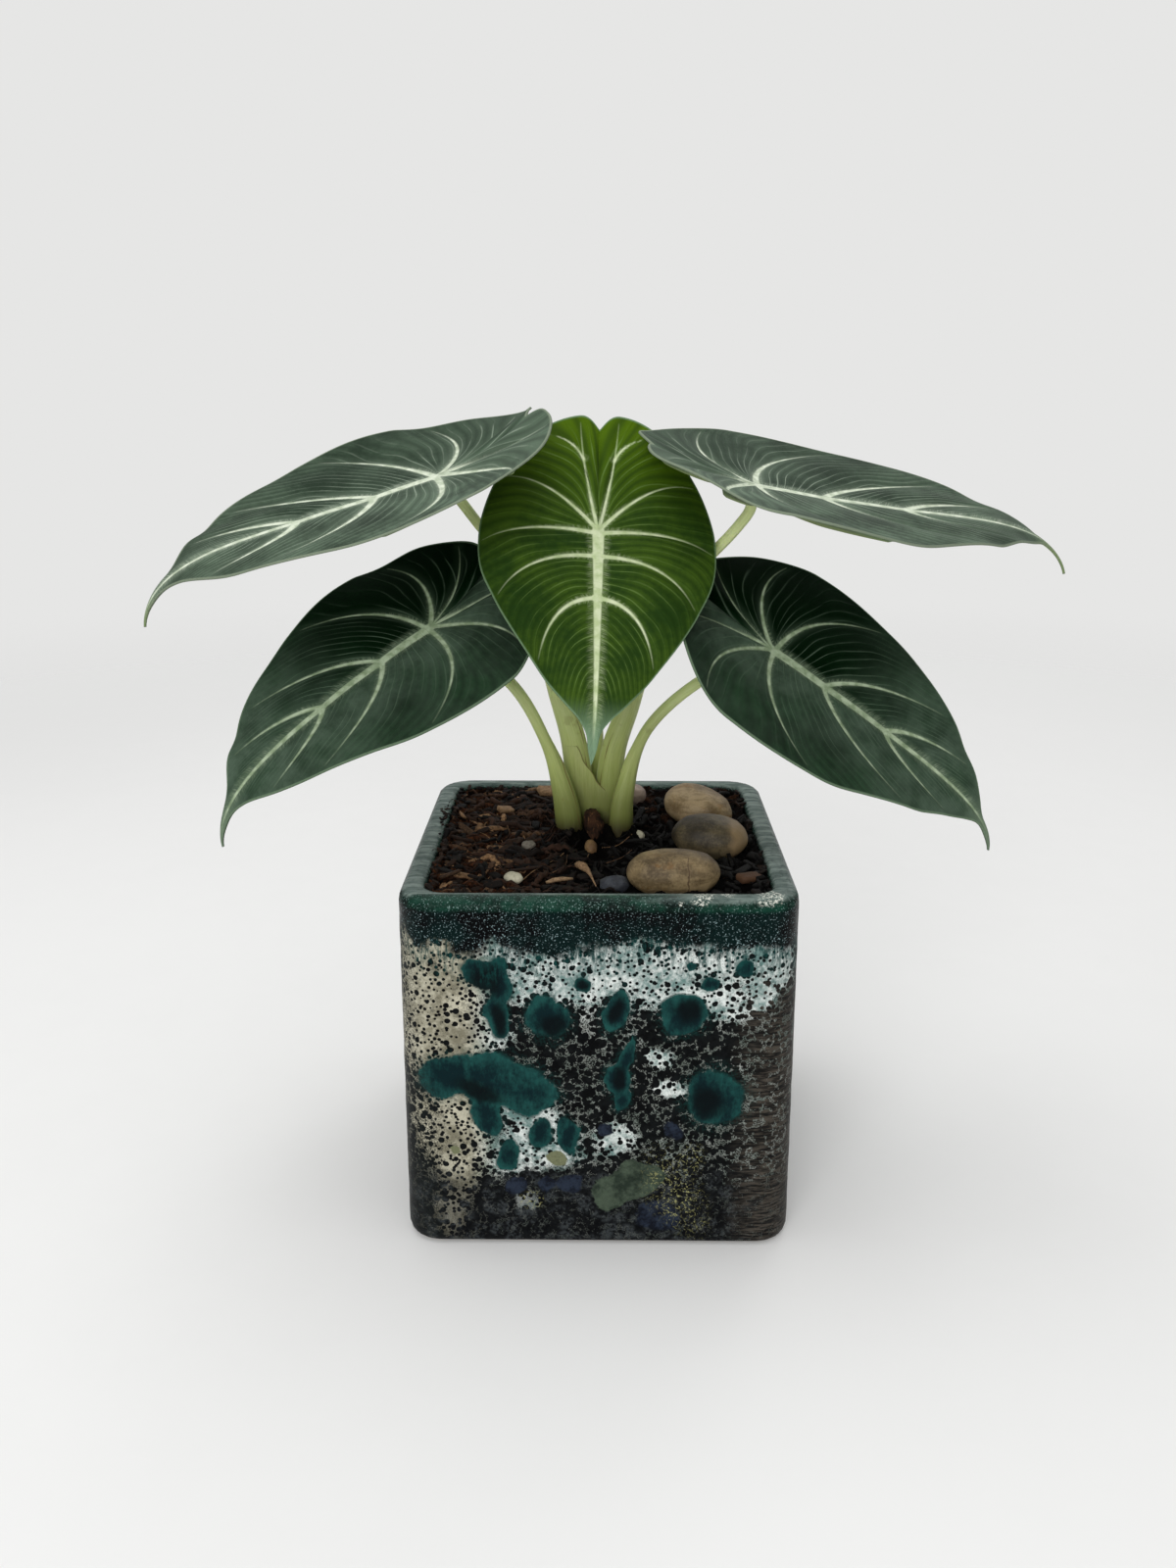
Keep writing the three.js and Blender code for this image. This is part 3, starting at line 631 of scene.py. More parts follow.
def half_blade(leaf, side):
    """One half's upper and lower sheets, and the numbers that their points carry."""
    last = len(leaf["rows"]) - 1
    position = np.linspace(0, last, last * ROWS_PER_STEP + 1)
    across = blade_columns()
    x, y = flat_blade(leaf, position, across)
    flat = np.stack([x, y], axis=-1).reshape(-1, 2)
    edge, run, brush = (part.reshape(x.shape) for part in vein_distances(leaf, flat))
    margin = np.sqrt((x - x[:, -1:]) ** 2 + (y - y[:, -1:]) ** 2)
    count = np.repeat(veinlet_count(x, y)[:, None], len(across), axis=1)
    lift = blade_lift(leaf, side, position, across)
    toward_edge = np.clip(margin / 3, 0, 1) * np.clip(x / 2, 0, 1)
    lift -= CHANNEL_DEPTH * np.exp(-(np.maximum(edge, 0) / CHANNEL_WIDTH) ** 2) * toward_edge
    ribs = RIB_DEPTH * np.exp(-(np.maximum(edge, 0) / RIB_WIDTH) ** 2) * np.clip(margin / 20, 0.1, 1)
    top = place_blade(leaf, bent_blade(leaf, side, x, y, lift))
    bottom = place_blade(leaf, bent_blade(leaf, side, x, y, lift - LEAF_THICKNESS - ribs))
    numbers = {"vein_edge": edge, "vein_run": run, "margin": margin, "veinlet": count,
               "brush": brush, "across": np.repeat(across[None], len(position), axis=0),
               "flat_x": x * side, "flat_y": y, "far": x * side * leaf["far_side"]}
    return top, bottom, numbers


def build_blade(name, leaf):
    """Both halves of a blade as one closed skin, with an upper and a lower finish."""
    points = []
    faces = []
    under = []
    numbers = {}
    for side in (1, -1):
        top, bottom, half_numbers = half_blade(leaf, side)
        rows, columns = top.shape[:2]
        for sheet, grid in enumerate((top, bottom)):
            base = len(points)
            points.extend(grid.reshape(-1, 3))
            for key, values in half_numbers.items():
                numbers.setdefault(key, []).append(values.reshape(-1))
            turned = (side > 0) == (sheet == 0)
            for row in range(rows - 1):
                for column in range(columns - 1):
                    a = base + row * columns + column
                    face = (a, a + 1, a + columns + 1, a + columns)
                    faces.append(face if turned else face[::-1])
                    under.append(sheet)
        first = base - rows * columns
        for row in range(rows - 1):
            a = first + row * columns + columns - 1
            b = base + row * columns + columns - 1
            face = (a, b, b + columns, a + columns)
            faces.append(face if side > 0 else face[::-1])
            under.append(0)
    piece = mesh_piece(name, points, faces)
    for key, parts in numbers.items():
        store(piece.data, key, np.concatenate(parts))
    piece.data.polygons.foreach_set("material_index", under)
    select_only(piece)
    bpy.ops.object.mode_set(mode="EDIT")
    bpy.ops.mesh.select_all(action="SELECT")
    bpy.ops.mesh.remove_doubles(threshold=2e-6)
    bpy.ops.mesh.dissolve_degenerate(threshold=1e-6)
    bpy.ops.object.mode_set(mode="OBJECT")
    return piece


print("narrowest column", np.diff(blade_columns()).min().round(4), "of the half width")

# %% [markdown]
# ## The leaf's finish
# Velvet is short hairs: the face is matt and dark seen straight on, and silvery seen at a glancing angle,
# which is what the shader's sheen does. The main veins are pale with feathered edges, because the pale
# colour runs out into the hairs beside them. Fine strokes across the vein's edge give that.


# %% Leaf materials
def leaf_material(name, look):
    material, tree, shader, _ = new_material(name)
    edge = attribute(tree, "vein_edge")
    run = attribute(tree, "vein_run")
    margin = attribute(tree, "margin")
    count = attribute(tree, "veinlet")
    flat_x = attribute(tree, "flat_x")
    flat_y = attribute(tree, "flat_y")
    out = size_of(tree, flat_x)
    flat = join_vector(tree, flat_x, flat_y, 0.0)

    # Hairs beside a vein: fine strokes that leave it at a slant and fade as they go out.
    slanted = plus(tree, times(tree, run, 3.6), times(tree, edge, -1.6))
    stroke_place = join_vector(tree, slanted, times(tree, edge, 0.3), out)
    strokes = noise_at(tree, stretch(tree, stroke_place, (1, 1, 0.03)), 1.0, 4.0, 0.7)
    brush = attribute(tree, "brush")
    length = plus(tree, times(tree, brush, look["feather"]), 0.05)
    fading = minus(tree, 1.0, calc(tree, "DIVIDE", edge, length))
    hairs = times(tree, fade(tree, strokes, 0.38, 0.72), fade(tree, fading, 0.0, 1.0))
    core = times(tree, fade(tree, edge, look["vein_soft"], -0.25), fade(tree, brush, -0.05, 0.12))
    core = larger(tree, core, times(tree, hairs, look["hair_strength"]))
    halo = fade(tree, edge, look["halo"], 0.0, 0.0, look["halo_strength"])
    halo = times(tree, halo, fade(tree, brush, 0.0, 0.5, 0.25, 1.0))

    # Veinlets: fine lines in the fan between the main veins, each with a brightness of its own.
    wander = times(tree, minus(tree, noise_at(tree, flat, 0.035, 1.0, 0.4), 0.5), 5.0)
    shifted = plus(tree, count, wander)
    beside = size_of(tree, minus(tree, calc(tree, "FRACT", shifted), 0.5))
    line = fade(tree, beside, 0.36, 0.5)
    own_number = times(tree, calc(tree, "FLOOR", shifted), 3.7)
    along_line = join_vector(tree, own_number, times(tree, attribute(tree, "across"), 2.6), 0.0)
    own = fade(tree, noise_at(tree, along_line, 1.0, 2.0, 0.5), 0.4, 0.62)
    toward_rib = fade(tree, out, 26.0, 3.0, look["outer_veinlets"], 1.0)
    inward = times(tree, fade(tree, margin, 1.0, 10.0), toward_rib)
    veinlets = times(tree, times(tree, line, own), inward)
    veinlets = times(tree, veinlets, look["veinlet_strength"])

    # The ground between them is mottled. It has its own colour behind the stalk's joint and painted shade in
    # the troughs. A painted grey sheen lies towards the tip and, on a side leaf, beside the rib, and one half
    # can be darker, which is painted shade.
    ground, patch_height = mottle(tree, flat, look["light"], look["dark"], 0.06, 0.7, 0.25)
    ground = blend(tree, fade(tree, flat_y, look["rear_from"], look["rear_to"]), ground, look["rear"])
    # Painted shade: the troughs between the veinlets are darker.
    troughs = times(tree, fade(tree, beside, 0.34, 0.0), 0.5)
    ground = blend(tree, troughs, ground, look["trough"])
    far = attribute(tree, "far")
    # Painted sheen: a grey haze towards the tip and beside the rib, where the velvet is seen at a glancing
    # angle.
    toward_tip = fade(tree, flat_y, look["dust_from"], look["dust_to"])
    beside_rib = times(tree, fade(tree, far, 0.5, -4.0), fade(tree, out, 26.0, 5.0, 0.3, 1.0))
    haze = larger(tree, toward_tip, beside_rib)
    cloudy = fade(tree, noise_at(tree, flat, 0.09, 4.0, 0.65), 0.3, 0.7, 0.35, 1.0)
    dusted = times(tree, times(tree, haze, cloudy), look["dust_strength"])
    before_tip = fade(tree, flat_y, look["dust_to"], look["dust_from"] - 8.0)
    # Painted shade: one half of a side leaf is darker.
    shade = times(tree, fade(tree, far, -1.0, 3.0, 0.0, look["far_strength"]), before_tip)
    ground = blend(tree, shade, ground, look["far_colour"])
    ground = blend(tree, dusted, ground, look["dust"])
    ground = blend(tree, veinlets, ground, look["veinlet"])
    ground = blend(tree, halo, ground, look["halo_colour"])
    patches = fade(tree, noise_at(tree, flat, 0.35, 3.0), 0.35, 0.65)
    ground = blend(tree, core, ground, blend(tree, patches, look["vein"], look["vein_dark"]))
    ground = blend(tree, fade(tree, margin, look["margin_width"], 0.1), ground, look["margin"])
    ground = blend(tree, fade(tree, flat_y, look["tip_from"], look["tip_to"]), ground, look["tip"])
    set_shader(tree, shader, Base_Color=ground, Roughness=look["roughness"],
               Specular_IOR_Level=look["specular"], Sheen_Weight=look["sheen"], Sheen_Roughness=0.4,
               Sheen_Tint=look["sheen_tint"])
    fuzz = noise_at(tree, flat, 5.0, 2.0, 0.8)
    height = plus(tree, times(tree, fuzz, 0.3), times(tree, line, 0.6))
    add_bump(tree, shader, plus(tree, height, times(tree, patch_height, 0.5)), 0.55, 0.3)
    return material


def leaf_look(**changes):
    """What the leaves have in common, with one kind's own values added or put in its place."""
    look = {"feather": 2.4, "hair_strength": 0.5, "vein_soft": 0.3, "halo": 1.8, "halo_strength": 0.35,
            "veinlet_strength": 0.6, "outer_veinlets": 0.35, "margin_width": 0.75, "roughness": 0.75,
            "specular": 0.1, "sheen_tint": (0.85, 0.95, 0.85, 1)}
    look.update(changes)
    return look


LEAF_LOOKS = {
    "front": leaf_look(
        light=colour(62, 88, 22), dark=colour(32, 58, 14), rear=colour(70, 98, 0), sheen=0.04,
        trough=colour(24, 48, 6), veinlet=colour(108, 136, 70), halo_colour=colour(84, 112, 40),
        vein=colour(214, 224, 186), vein_dark=colour(186, 202, 152), margin=colour(108, 134, 100),
        tip=colour(120, 148, 118), hair_strength=0.55, dust_strength=0.0, dust=colour(120, 130, 120),
        dust_from=90.0, dust_to=120.0, far_strength=0.0, far_colour=colour(0, 10, 2),
        rear_from=4.0, rear_to=-34.0, tip_from=46.0, tip_to=60.0, specular=0.08, veinlet_strength=0.8),
    "lower": leaf_look(
        light=colour(34, 60, 38), dark=colour(8, 28, 12), rear=colour(2, 22, 6), sheen=0.01,
        specular=0.02, halo=2.6, halo_strength=0.4,
        trough=colour(3, 15, 6), veinlet=colour(104, 124, 104), halo_colour=colour(76, 94, 76),
        vein=colour(178, 194, 164), vein_dark=colour(136, 154, 122), margin=colour(102, 122, 98),
        tip=colour(112, 130, 108), dust_strength=0.8, dust=colour(86, 104, 88),
        dust_from=14.0, dust_to=62.0, far_strength=0.88, far_colour=colour(0, 18, 2),
        rear_from=8.0, rear_to=-26.0, tip_from=66.0, tip_to=82.0),
    # The upper leaves are seen at a glancing angle: their grey-green colours are painted sheen on the dark
    # leaf.
    "upper": leaf_look(
        light=colour(92, 112, 92), dark=colour(32, 48, 34), rear=colour(90, 110, 90), sheen=0.05,
        halo=3.2, halo_strength=0.5, veinlet_strength=0.85,
        trough=colour(28, 40, 30), veinlet=colour(148, 162, 144), halo_colour=colour(112, 128, 110),
        vein=colour(218, 226, 206), vein_dark=colour(180, 192, 168), margin=colour(126, 138, 118),
        tip=colour(128, 146, 104), dust_strength=0.65, dust=colour(70, 84, 70),
        dust_from=30.0, dust_to=80.0, far_strength=0.62, far_colour=colour(26, 44, 28),
        rear_from=10.0, rear_to=-40.0, tip_from=76.0, tip_to=88.0),
}


def underside_material():
    material, tree, shader, _ = new_material("leaf_underside")
    flat = join_vector(tree, attribute(tree, "flat_x"), attribute(tree, "flat_y"), 0.0)
    ground, height = mottle(tree, flat, colour(118, 140, 104), colour(84, 104, 80), 0.07, 0.9)
    flush = fade(tree, noise_at(tree, flat, 0.04, 3.0), 0.45, 0.7, 0.0, 0.35)
    ground = blend(tree, flush, ground, colour(104, 84, 84))
    ribs = fade(tree, attribute(tree, "vein_edge"), 0.9, 0.1)
    ground = blend(tree, ribs, ground, colour(152, 168, 118))
    set_shader(tree, shader, Base_Color=ground, Roughness=0.55, Specular_IOR_Level=0.3)
    add_bump(tree, shader, height, 0.3, 0.2)
    return material


UNDERSIDE = underside_material()
print("leaf looks:", list(LEAF_LOOKS), "and", UNDERSIDE.name)

# %% Make the five blades
BLADE_LOOKS = {"front": "front", "upper_left": "upper", "lower_left": "lower",
               "lower_right": "lower", "upper_right": "upper"}
BLADE_SLOTS = {"front": "blade_green", "upper": "blade_grey", "lower": "blade_dark"}
leaf_materials = {name: leaf_material(f"leaf_{name}", look) for name, look in LEAF_LOOKS.items()}
for leaf_name, leaf in LEAVES.items():
    blade = build_blade(f"leaf_{leaf_name}", leaf)
    look_name = BLADE_LOOKS[leaf_name]
    blade.data.materials.append(leaf_materials[look_name])
    blade.data.materials.append(UNDERSIDE)
    finish_piece(blade, BLADE_SLOTS[look_name], f"blade_{leaf_name}")

# %% [markdown]
# ## Leaf stalks
# Each leaf of an alocasia stands on its own stalk, whose foot is a sheath that clasps the next stalk. A
# stalk is a round rod swept along a curve: wide at the foot, slim at the blade, where it flares into the
# ribs. The sheath's free edge dries to a thin brown line, and long faint grooves run up the stalk.

# %% The routes of the stalks
STALK_FOOT = 91.1
STALKS = {
    "front": {"path": [(-1.2, 16.2, 91.1), (-1.2, 16.2, 110), (-1.1, 16, 135), (-0.8, 13.5, 158)],
              "width": 2.9, "depth": 2.6, "head": 1.5, "sheath_end": 0.6, "edges": []},
    "upper_left": {"path": [(-5.4, 9.5, 91.1), (-5.5, 9.4, 103), (-7.5, 9.2, 122), (-11.6, 10, 135.5),
                            (-16, 11, 150), (-20.5, 11.5, 164), (-25.6, 10.5, 173), (-32.4, 8, 182)],
                   "width": 3.9, "depth": 3.1, "head": 1.4, "sheath_end": 0.75,
                   "edges": [[(0.02, -12), (0.12, -38), (0.2, -42), (0.34, -28)]]},
    "lower_left": {"path": [(-8.2, 2.6, 91.1), (-8.6, 2.5, 99), (-10, 2.3, 108), (-14.7, 1.5, 123.6),
                            (-24.2, 0, 140.6)],
                   "width": 3.7, "depth": 3.3, "head": 1.6, "sheath_end": 0.45,
                   "edges": [[(0.03, -48), (0.14, -30), (0.3, -22), (0.36, 8)]]},
    "lower_right": {"path": [(5.8, 2.6, 91.1), (6, 2.5, 99), (6.9, 2.4, 108.5), (13.1, 2.6, 126.7),
                             (26.8, 3.6, 139.8)],
                    "width": 3.5, "depth": 3.3, "head": 1.55, "sheath_end": 0.45,
                    "edges": [[(0.03, -128), (0.12, -150), (0.28, -158), (0.34, -190)]]},
    "upper_right": {"path": [(3.1, 9.5, 91.1), (2.6, 9.4, 103), (4, 9.2, 119.2), (8.3, 9.5, 132),
                             (13, 9, 147), (18, 8, 160), (24.8, 7, 169.3), (31.2, 6, 175.8),
                             (36.2, 4.8, 181.5)],
                    "width": 3.9, "depth": 3.1, "head": 1.45, "sheath_end": 0.75,
                    "neck": (39.3, 3.2, 186.4),
                    "edges": [[(0.02, -60), (0.1, -112), (0.16, -132), (0.3, -118)]]},
}
STALK_RINGS = 150
STALK_SIDES = 44
NECK_DEPTH = 6.5
NECK_BACK = 3.0
HEAD_DEPTH = 1.9
HEAD_BACK = 0.5
GROOVES = 7
GROOVE_DEPTH = 0.05
LAP_RISE = 0.32


def smooth_route(points, count):
    """A smooth curve through the points, cut into even steps."""
    points = np.array(points, float)
    padded = np.vstack([2 * points[0] - points[1], points, 2 * points[-1] - points[-2]])
    dense = []
    t = np.linspace(0, 1, 40, endpoint=False)[:, None]
    for k in range(1, len(padded) - 2):
        p0, p1, p2, p3 = padded[k - 1:k + 3]
        d0, d1, d2 = (math.sqrt(np.linalg.norm(b - a)) for a, b in ((p0, p1), (p1, p2), (p2, p3)))
        leave = d1 * ((p1 - p0) / d0 - (p2 - p0) / (d0 + d1) + (p2 - p1) / d1)
        arrive = d1 * ((p2 - p1) / d1 - (p3 - p1) / (d1 + d2) + (p3 - p2) / d2)
        cubic = (2 * p1 - 2 * p2 + leave + arrive) * t + (-3 * p1 + 3 * p2 - 2 * leave - arrive)
        dense.append(cubic * t * t + leave * t + p1)
    dense = np.vstack([*dense, points[-1:]])
    length = np.concatenate([[0], np.cumsum(np.linalg.norm(np.diff(dense, axis=0), axis=1))])
    even = np.linspace(0, length[-1], count)
    route = np.stack([np.interp(even, length, dense[:, axis]) for axis in range(3)], axis=-1)
    return route, length[-1]


def stalk_rings(stalk, leaf):
    """The rings of points round a stalk, and the numbers that each point carries."""
    side, forward, up = (np.array(list(axis)) for axis in leaf_axes(leaf))
    attach = np.array(leaf["attach"], float)
    neck = stalk.get("neck", attach - up * NECK_DEPTH - forward * NECK_BACK)
    ends = [neck, attach - up * HEAD_DEPTH - forward * HEAD_BACK]
    route, length = smooth_route([*stalk["path"], *ends], STALK_RINGS)
    tangent = np.gradient(route, axis=0)
    tangent /= np.linalg.norm(tangent, axis=1, keepdims=True)
    across = np.cross([0, 1, 0], tangent)
    across /= np.linalg.norm(across, axis=1, keepdims=True)
    away = np.cross(tangent, across)
    share = np.linspace(0, 1, STALK_RINGS)
    t = np.clip((share - 0.08) / (stalk["sheath_end"] - 0.08), 0, 1)
    sheath = 1 - t * t * (3 - 2 * t)
    flare = 0.5 * np.clip((share - 0.93) / 0.07, 0, 1) ** 2
    width = stalk["head"] + (stalk["width"] - stalk["head"]) * sheath + flare
    depth = stalk["head"] + (stalk["depth"] - stalk["head"]) * sheath + flare * 0.4
    angle = np.linspace(0, 2 * np.pi, STALK_SIDES, endpoint=False)
    edge = np.full((STALK_RINGS, STALK_SIDES), 9.0)
    swell = GROOVE_DEPTH * np.cos(GROOVES * angle)[None] * (1 - 0.5 * share[:, None])
    for line in stalk["edges"]:
        line_share, line_angle = np.array(line).T
        middle = np.radians(np.interp(share, line_share, line_angle))[:, None]
        turn = (angle[None] - middle + np.pi) % (2 * np.pi) - np.pi
        beyond = np.maximum(line_share[0] - share, share - line_share[-1])[:, None]
        gap = np.hypot(turn * width[:, None], np.maximum(beyond, 0) * length)
        lap = 1 / (1 + np.exp(-np.clip(turn * width[:, None] / 0.12, -30, 30)))
        inside = np.clip(1 - np.maximum(beyond, 0) * 12, 0, 1) * np.clip(1.6 - abs(turn), 0, 1)
        swell = swell + LAP_RISE * lap * inside * (turn > -1.6)
        edge = np.minimum(edge, gap)
    ring_x = (width[:, None] + swell) * np.cos(angle)[None]
    ring_y = (depth[:, None] + swell) * np.sin(angle)[None]
    points = route[:, None] + across[:, None] * ring_x[..., None] + away[:, None] * ring_y[..., None]
    points[0, :, 2] = STALK_FOOT
    numbers = {"edge": edge, "turn": np.repeat(angle[None], STALK_RINGS, axis=0),
               "run": np.repeat(share[:, None] * length, STALK_SIDES, axis=1)}
    return points * MM, numbers


def ring_faces(levels, sides):
    """The faces that close a stack of rings into one skin, with a cap at each end."""
    faces = []
    for level in range(levels - 1):
        for n in range(sides):
            a = level * sides + n
            b = level * sides + (n + 1) % sides
            faces.append((a, b, b + sides, a + sides))
    faces.append(tuple(range(sides))[::-1])
    faces.append(tuple(range((levels - 1) * sides, levels * sides)))
    return faces


def skin_rings(name, points, numbers):
    piece = mesh_piece(name, points.reshape(-1, 3), ring_faces(*points.shape[:2]))
    for key, values in numbers.items():
        store(piece.data, key, values)
    return piece


for name, stalk in STALKS.items():
    print(name, "stalk:", round(smooth_route(stalk["path"], STALK_RINGS)[1]), "mm up to its neck")

# %% [markdown]
# The stalk's skin is pale yellow green and lets some light through. High up it is paler, partly its own
# colour and partly painted light where the leaves shade it. It turns olive towards the soil, and its foot
# is darkened nearly to the soil's colour, which is painted shade.

# %% Make the five stalks
STALK_SKIN, tree, shader, place = new_material("stalk_skin")
turn = attribute(tree, "turn")
around = join_vector(tree, calc(tree, "COSINE", turn), calc(tree, "SINE", turn),
                     times(tree, attribute(tree, "run"), 0.02))
fine = noise_at(tree, around, 9.0, 4.0, 0.6)
streaked = fade(tree, fine, 0.3, 0.7)
height_mm = split_vector(tree, in_mm(tree, place))[2]
# Paler high up: partly the skin's own colour, partly painted light where the leaves shade the stalks.
ground = blend(tree, streaked, colour(204, 216, 148), colour(218, 228, 168))
lower_green = blend(tree, streaked, colour(160, 172, 98), colour(178, 188, 116))
ground = blend(tree, fade(tree, height_mm, 150.0, 112.0), ground, lower_green)
olive = fade(tree, height_mm, 118.0, 101.0, 0.0, 0.82)
ground = blend(tree, olive, ground, colour(92, 98, 42))
blot = fade(tree, noise_at(tree, place, 170.0, 3.0, 0.6), 0.62, 0.7, 0.0, 0.3)
ground = blend(tree, blot, ground, colour(120, 112, 50))
dry_edge = fade(tree, attribute(tree, "edge"), 0.32, 0.08, 0.0, 0.75)
ground = blend(tree, dry_edge, ground, colour(106, 82, 44))
# Painted shade: the foot is darkened nearly to the soil's colour.
foot = fade(tree, height_mm, 104.0, 97.6, 0.0, 0.92)
ground = blend(tree, foot, ground, colour(44, 34, 20))
set_shader(tree, shader, Base_Color=ground, Roughness=0.42, Specular_IOR_Level=0.35,
           Subsurface_Weight=0.25, Subsurface_Radius=(0.003, 0.004, 0.0015), Subsurface_Scale=1.0)
add_bump(tree, shader, fine, 0.35, 0.2)
for name, stalk in STALKS.items():
    points, numbers = stalk_rings(stalk, LEAVES[name])
    piece = skin_rings(f"stalk_{name}", points, numbers)
    piece.data.materials.append(STALK_SKIN)
    finish_piece(piece, "petiole", f"petiole_{name}")

# %% [markdown]
# The upper left stalk's sheath wraps in front of its neighbour. Its free edge slants across the crown. The
# fold is a thin sheet: at each level a line from the stalk to the free edge, out and back again, is one
# ring, and the rings are skinned as the stalks are.

# %% The fold of the sheath
FOLD_EDGE = np.array([(94, 3.8), (104, 3.8), (107.4, 2.4), (110.9, -0.6), (115, -3.4), (118, -4.6),
                      (121, -6.5)])
FOLD_FOOT = 94
FOLD_TOP = 121
FOLD_LEFT = -7.6
FOLD_ROWS = 60
FOLD_COLUMNS = 36
FOLD_THICKNESS = 0.35
level = np.linspace(FOLD_FOOT, FOLD_TOP, FOLD_ROWS)[:, None]
free_edge = np.interp(level, FOLD_EDGE[:, 0], FOLD_EDGE[:, 1])
free_edge = free_edge + 0.3 * np.sin(level * 0.9)
lean = np.interp(level, [94, 103, 122], [0, 0, -2.0])
across = np.linspace(0, 1, FOLD_COLUMNS)[None]
fold_x = (FOLD_LEFT + lean) * (1 - across) + free_edge * across
profile = np.array([(-8, 7.3), (-7, 6.7), (-5.5, 6.15), (-3, 5.95), (0, 5.85), (2.5, 5.7), (4.5, 5.9)])
fold_y = np.interp(fold_x - lean, profile[:, 0], profile[:, 1])
fold_y = fold_y + 0.35 * across ** 8
front_sheet = np.stack([fold_x, fold_y, np.broadcast_to(level, fold_x.shape)], axis=-1)
back_sheet = front_sheet + np.array([0, FOLD_THICKNESS, 0])
rings = np.concatenate([front_sheet, back_sheet[:, ::-1]], axis=1)
ring_across = np.concatenate([across, across[:, ::-1]], axis=1).repeat(FOLD_ROWS, axis=0)
to_edge = (1 - ring_across) * (free_edge - FOLD_LEFT - lean)
fold_numbers = {"edge": to_edge, "turn": rings[..., 0] / 4, "run": rings[..., 2] - 91}
fold = skin_rings("sheath_fold", rings * MM, fold_numbers)
fold.data.materials.append(STALK_SKIN)
finish_piece(fold, "petiole", "petiole_upper_left")

# %% [markdown]
# ## Root stock
# The stalks stand on a stout brown root stock. Only its old tip shows, a blunt wedge between the two front
# stalks, ringed by the scars of leaves that have dropped. It is stacked up ring by ring with extrude and
# resize, as a wax model would be built, then roughened.

# %% Build the root stock
ROOT_LEVELS = [(-1.2, 8, 74, 2.5), (-1.2, 8, 77, 5.6), (-1.2, 8, 82, 8.6), (-1.2, 8, 88, 9.9),
               (-1.2, 8, 90.8, 9.8), (-1.05, 1.8, 91.2, 3.1), (-1.05, 1.6, 93.5, 3.15),
               (-1.05, 1.6, 94.2, 2.85), (-1.05, 1.6, 96, 3.05), (-1.05, 1.65, 98, 2.8),
               (-1.2, 1.7, 98.6, 3.0), (-1.6, 1.8, 100.4, 2.7), (-2.0, 2.1, 102.2, 2.4),
               (-2.2, 2.3, 103.4, 1.7)]
bpy.ops.object.select_all(action="DESELECT")
centre_x, centre_y, level, radius = ROOT_LEVELS[0]
bpy.ops.mesh.primitive_circle_add(vertices=40, radius=radius * MM, fill_type="NGON",
                                  location=(centre_x * MM, centre_y * MM, level * MM))
root = bpy.context.active_object
root.name = "root_stock"
apply_place(root)
bpy.ops.object.mode_set(mode="EDIT")
bpy.ops.mesh.select_all(action="SELECT")
for before, after in zip(ROOT_LEVELS, ROOT_LEVELS[1:]):
    move = [(b - a) * MM for a, b in zip(before[:3], after[:3])]
    bpy.ops.mesh.extrude_region_move(TRANSFORM_OT_translate={"value": move})
    scale = after[3] / before[3]
    middle = [value * MM for value in after[:3]]
    bpy.ops.transform.resize(value=(scale, scale, 1), center_override=middle)
bpy.ops.mesh.select_all(action="SELECT")
bpy.ops.mesh.normals_make_consistent(inside=False)
bpy.ops.mesh.quads_convert_to_tris(quad_method="BEAUTY", ngon_method="BEAUTY")
bpy.ops.mesh.tris_convert_to_quads()
bpy.ops.object.mode_set(mode="OBJECT")
apply_modifier(root, "SUBSURF", levels=2, render_levels=2)
root_noise = bpy.data.textures.new("root_noise", "CLOUDS")
root_noise.noise_scale = 1.6 * MM
apply_modifier(root, "DISPLACE", texture=root_noise, strength=0.7 * MM, texture_coords="LOCAL")
bpy.ops.object.shade_smooth()

material, tree, shader, place = new_material("root_bark")
fibres = noise_at(tree, stretch(tree, place, (1500, 1500, 260), (0.35, 0.9, 0)), 1.0, 4.0, 0.65)
ground, height = mottle(tree, place, colour(60, 38, 24), colour(20, 13, 9), 380.0, 2200.0)
ground = blend(tree, fade(tree, fibres, 0.55, 0.72, 0.0, 0.7), ground, colour(122, 86, 54))
set_shader(tree, shader, Base_Color=ground, Roughness=0.85, Specular_IOR_Level=0.15)
add_bump(tree, shader, plus(tree, fibres, height), 0.8, 0.5)
root.data.materials.append(material)
finish_piece(root, "rhizome", "rhizome")

# %% [markdown]
# ## The pot
# The pot is slip cast: a cube with soft corners, hollowed with an even wall. It starts as a cube whose
# upright edges are bevelled. Its top is inset and pushed down to the floor. Then the rim and the foot are
# rounded, which is where glaze and a sponge would soften them. Last it is rebuilt of small even faces,
# because the glaze's patterns are stored on its points.

# %% Build the pot
POT_HEIGHT = 98
TOP_HALF = 50
FOOT_HALF = 51
WALL = 6.7
FLOOR = 8
CORNER_RADIUS = 9.5
INNER_CORNER_RADIUS = 6
OUTER_LIP = 2.8
INNER_LIP = 2.5
FOOT_ROUND = 2.5
FLOOR_ROUND = 3.0
FACE_SIZE = 1.15


def bevel_edges(piece, chosen, offset, segments):
    """Bevel the edges whose two ends pass the test."""
    select_only(piece)
    bpy.ops.object.mode_set(mode="EDIT")
    bpy.ops.mesh.select_mode(type="EDGE")
    bpy.ops.mesh.select_all(action="DESELECT")
    shape = bmesh.from_edit_mesh(piece.data)
    for edge in shape.edges:
        first, second = (vertex.co / MM for vertex in edge.verts)
        edge.select = chosen(first, second)
    bmesh.update_edit_mesh(piece.data)
    bpy.ops.mesh.bevel(offset=offset * MM, segments=segments, affect="EDGES", clamp_overlap=True)
    bpy.ops.object.mode_set(mode="OBJECT")


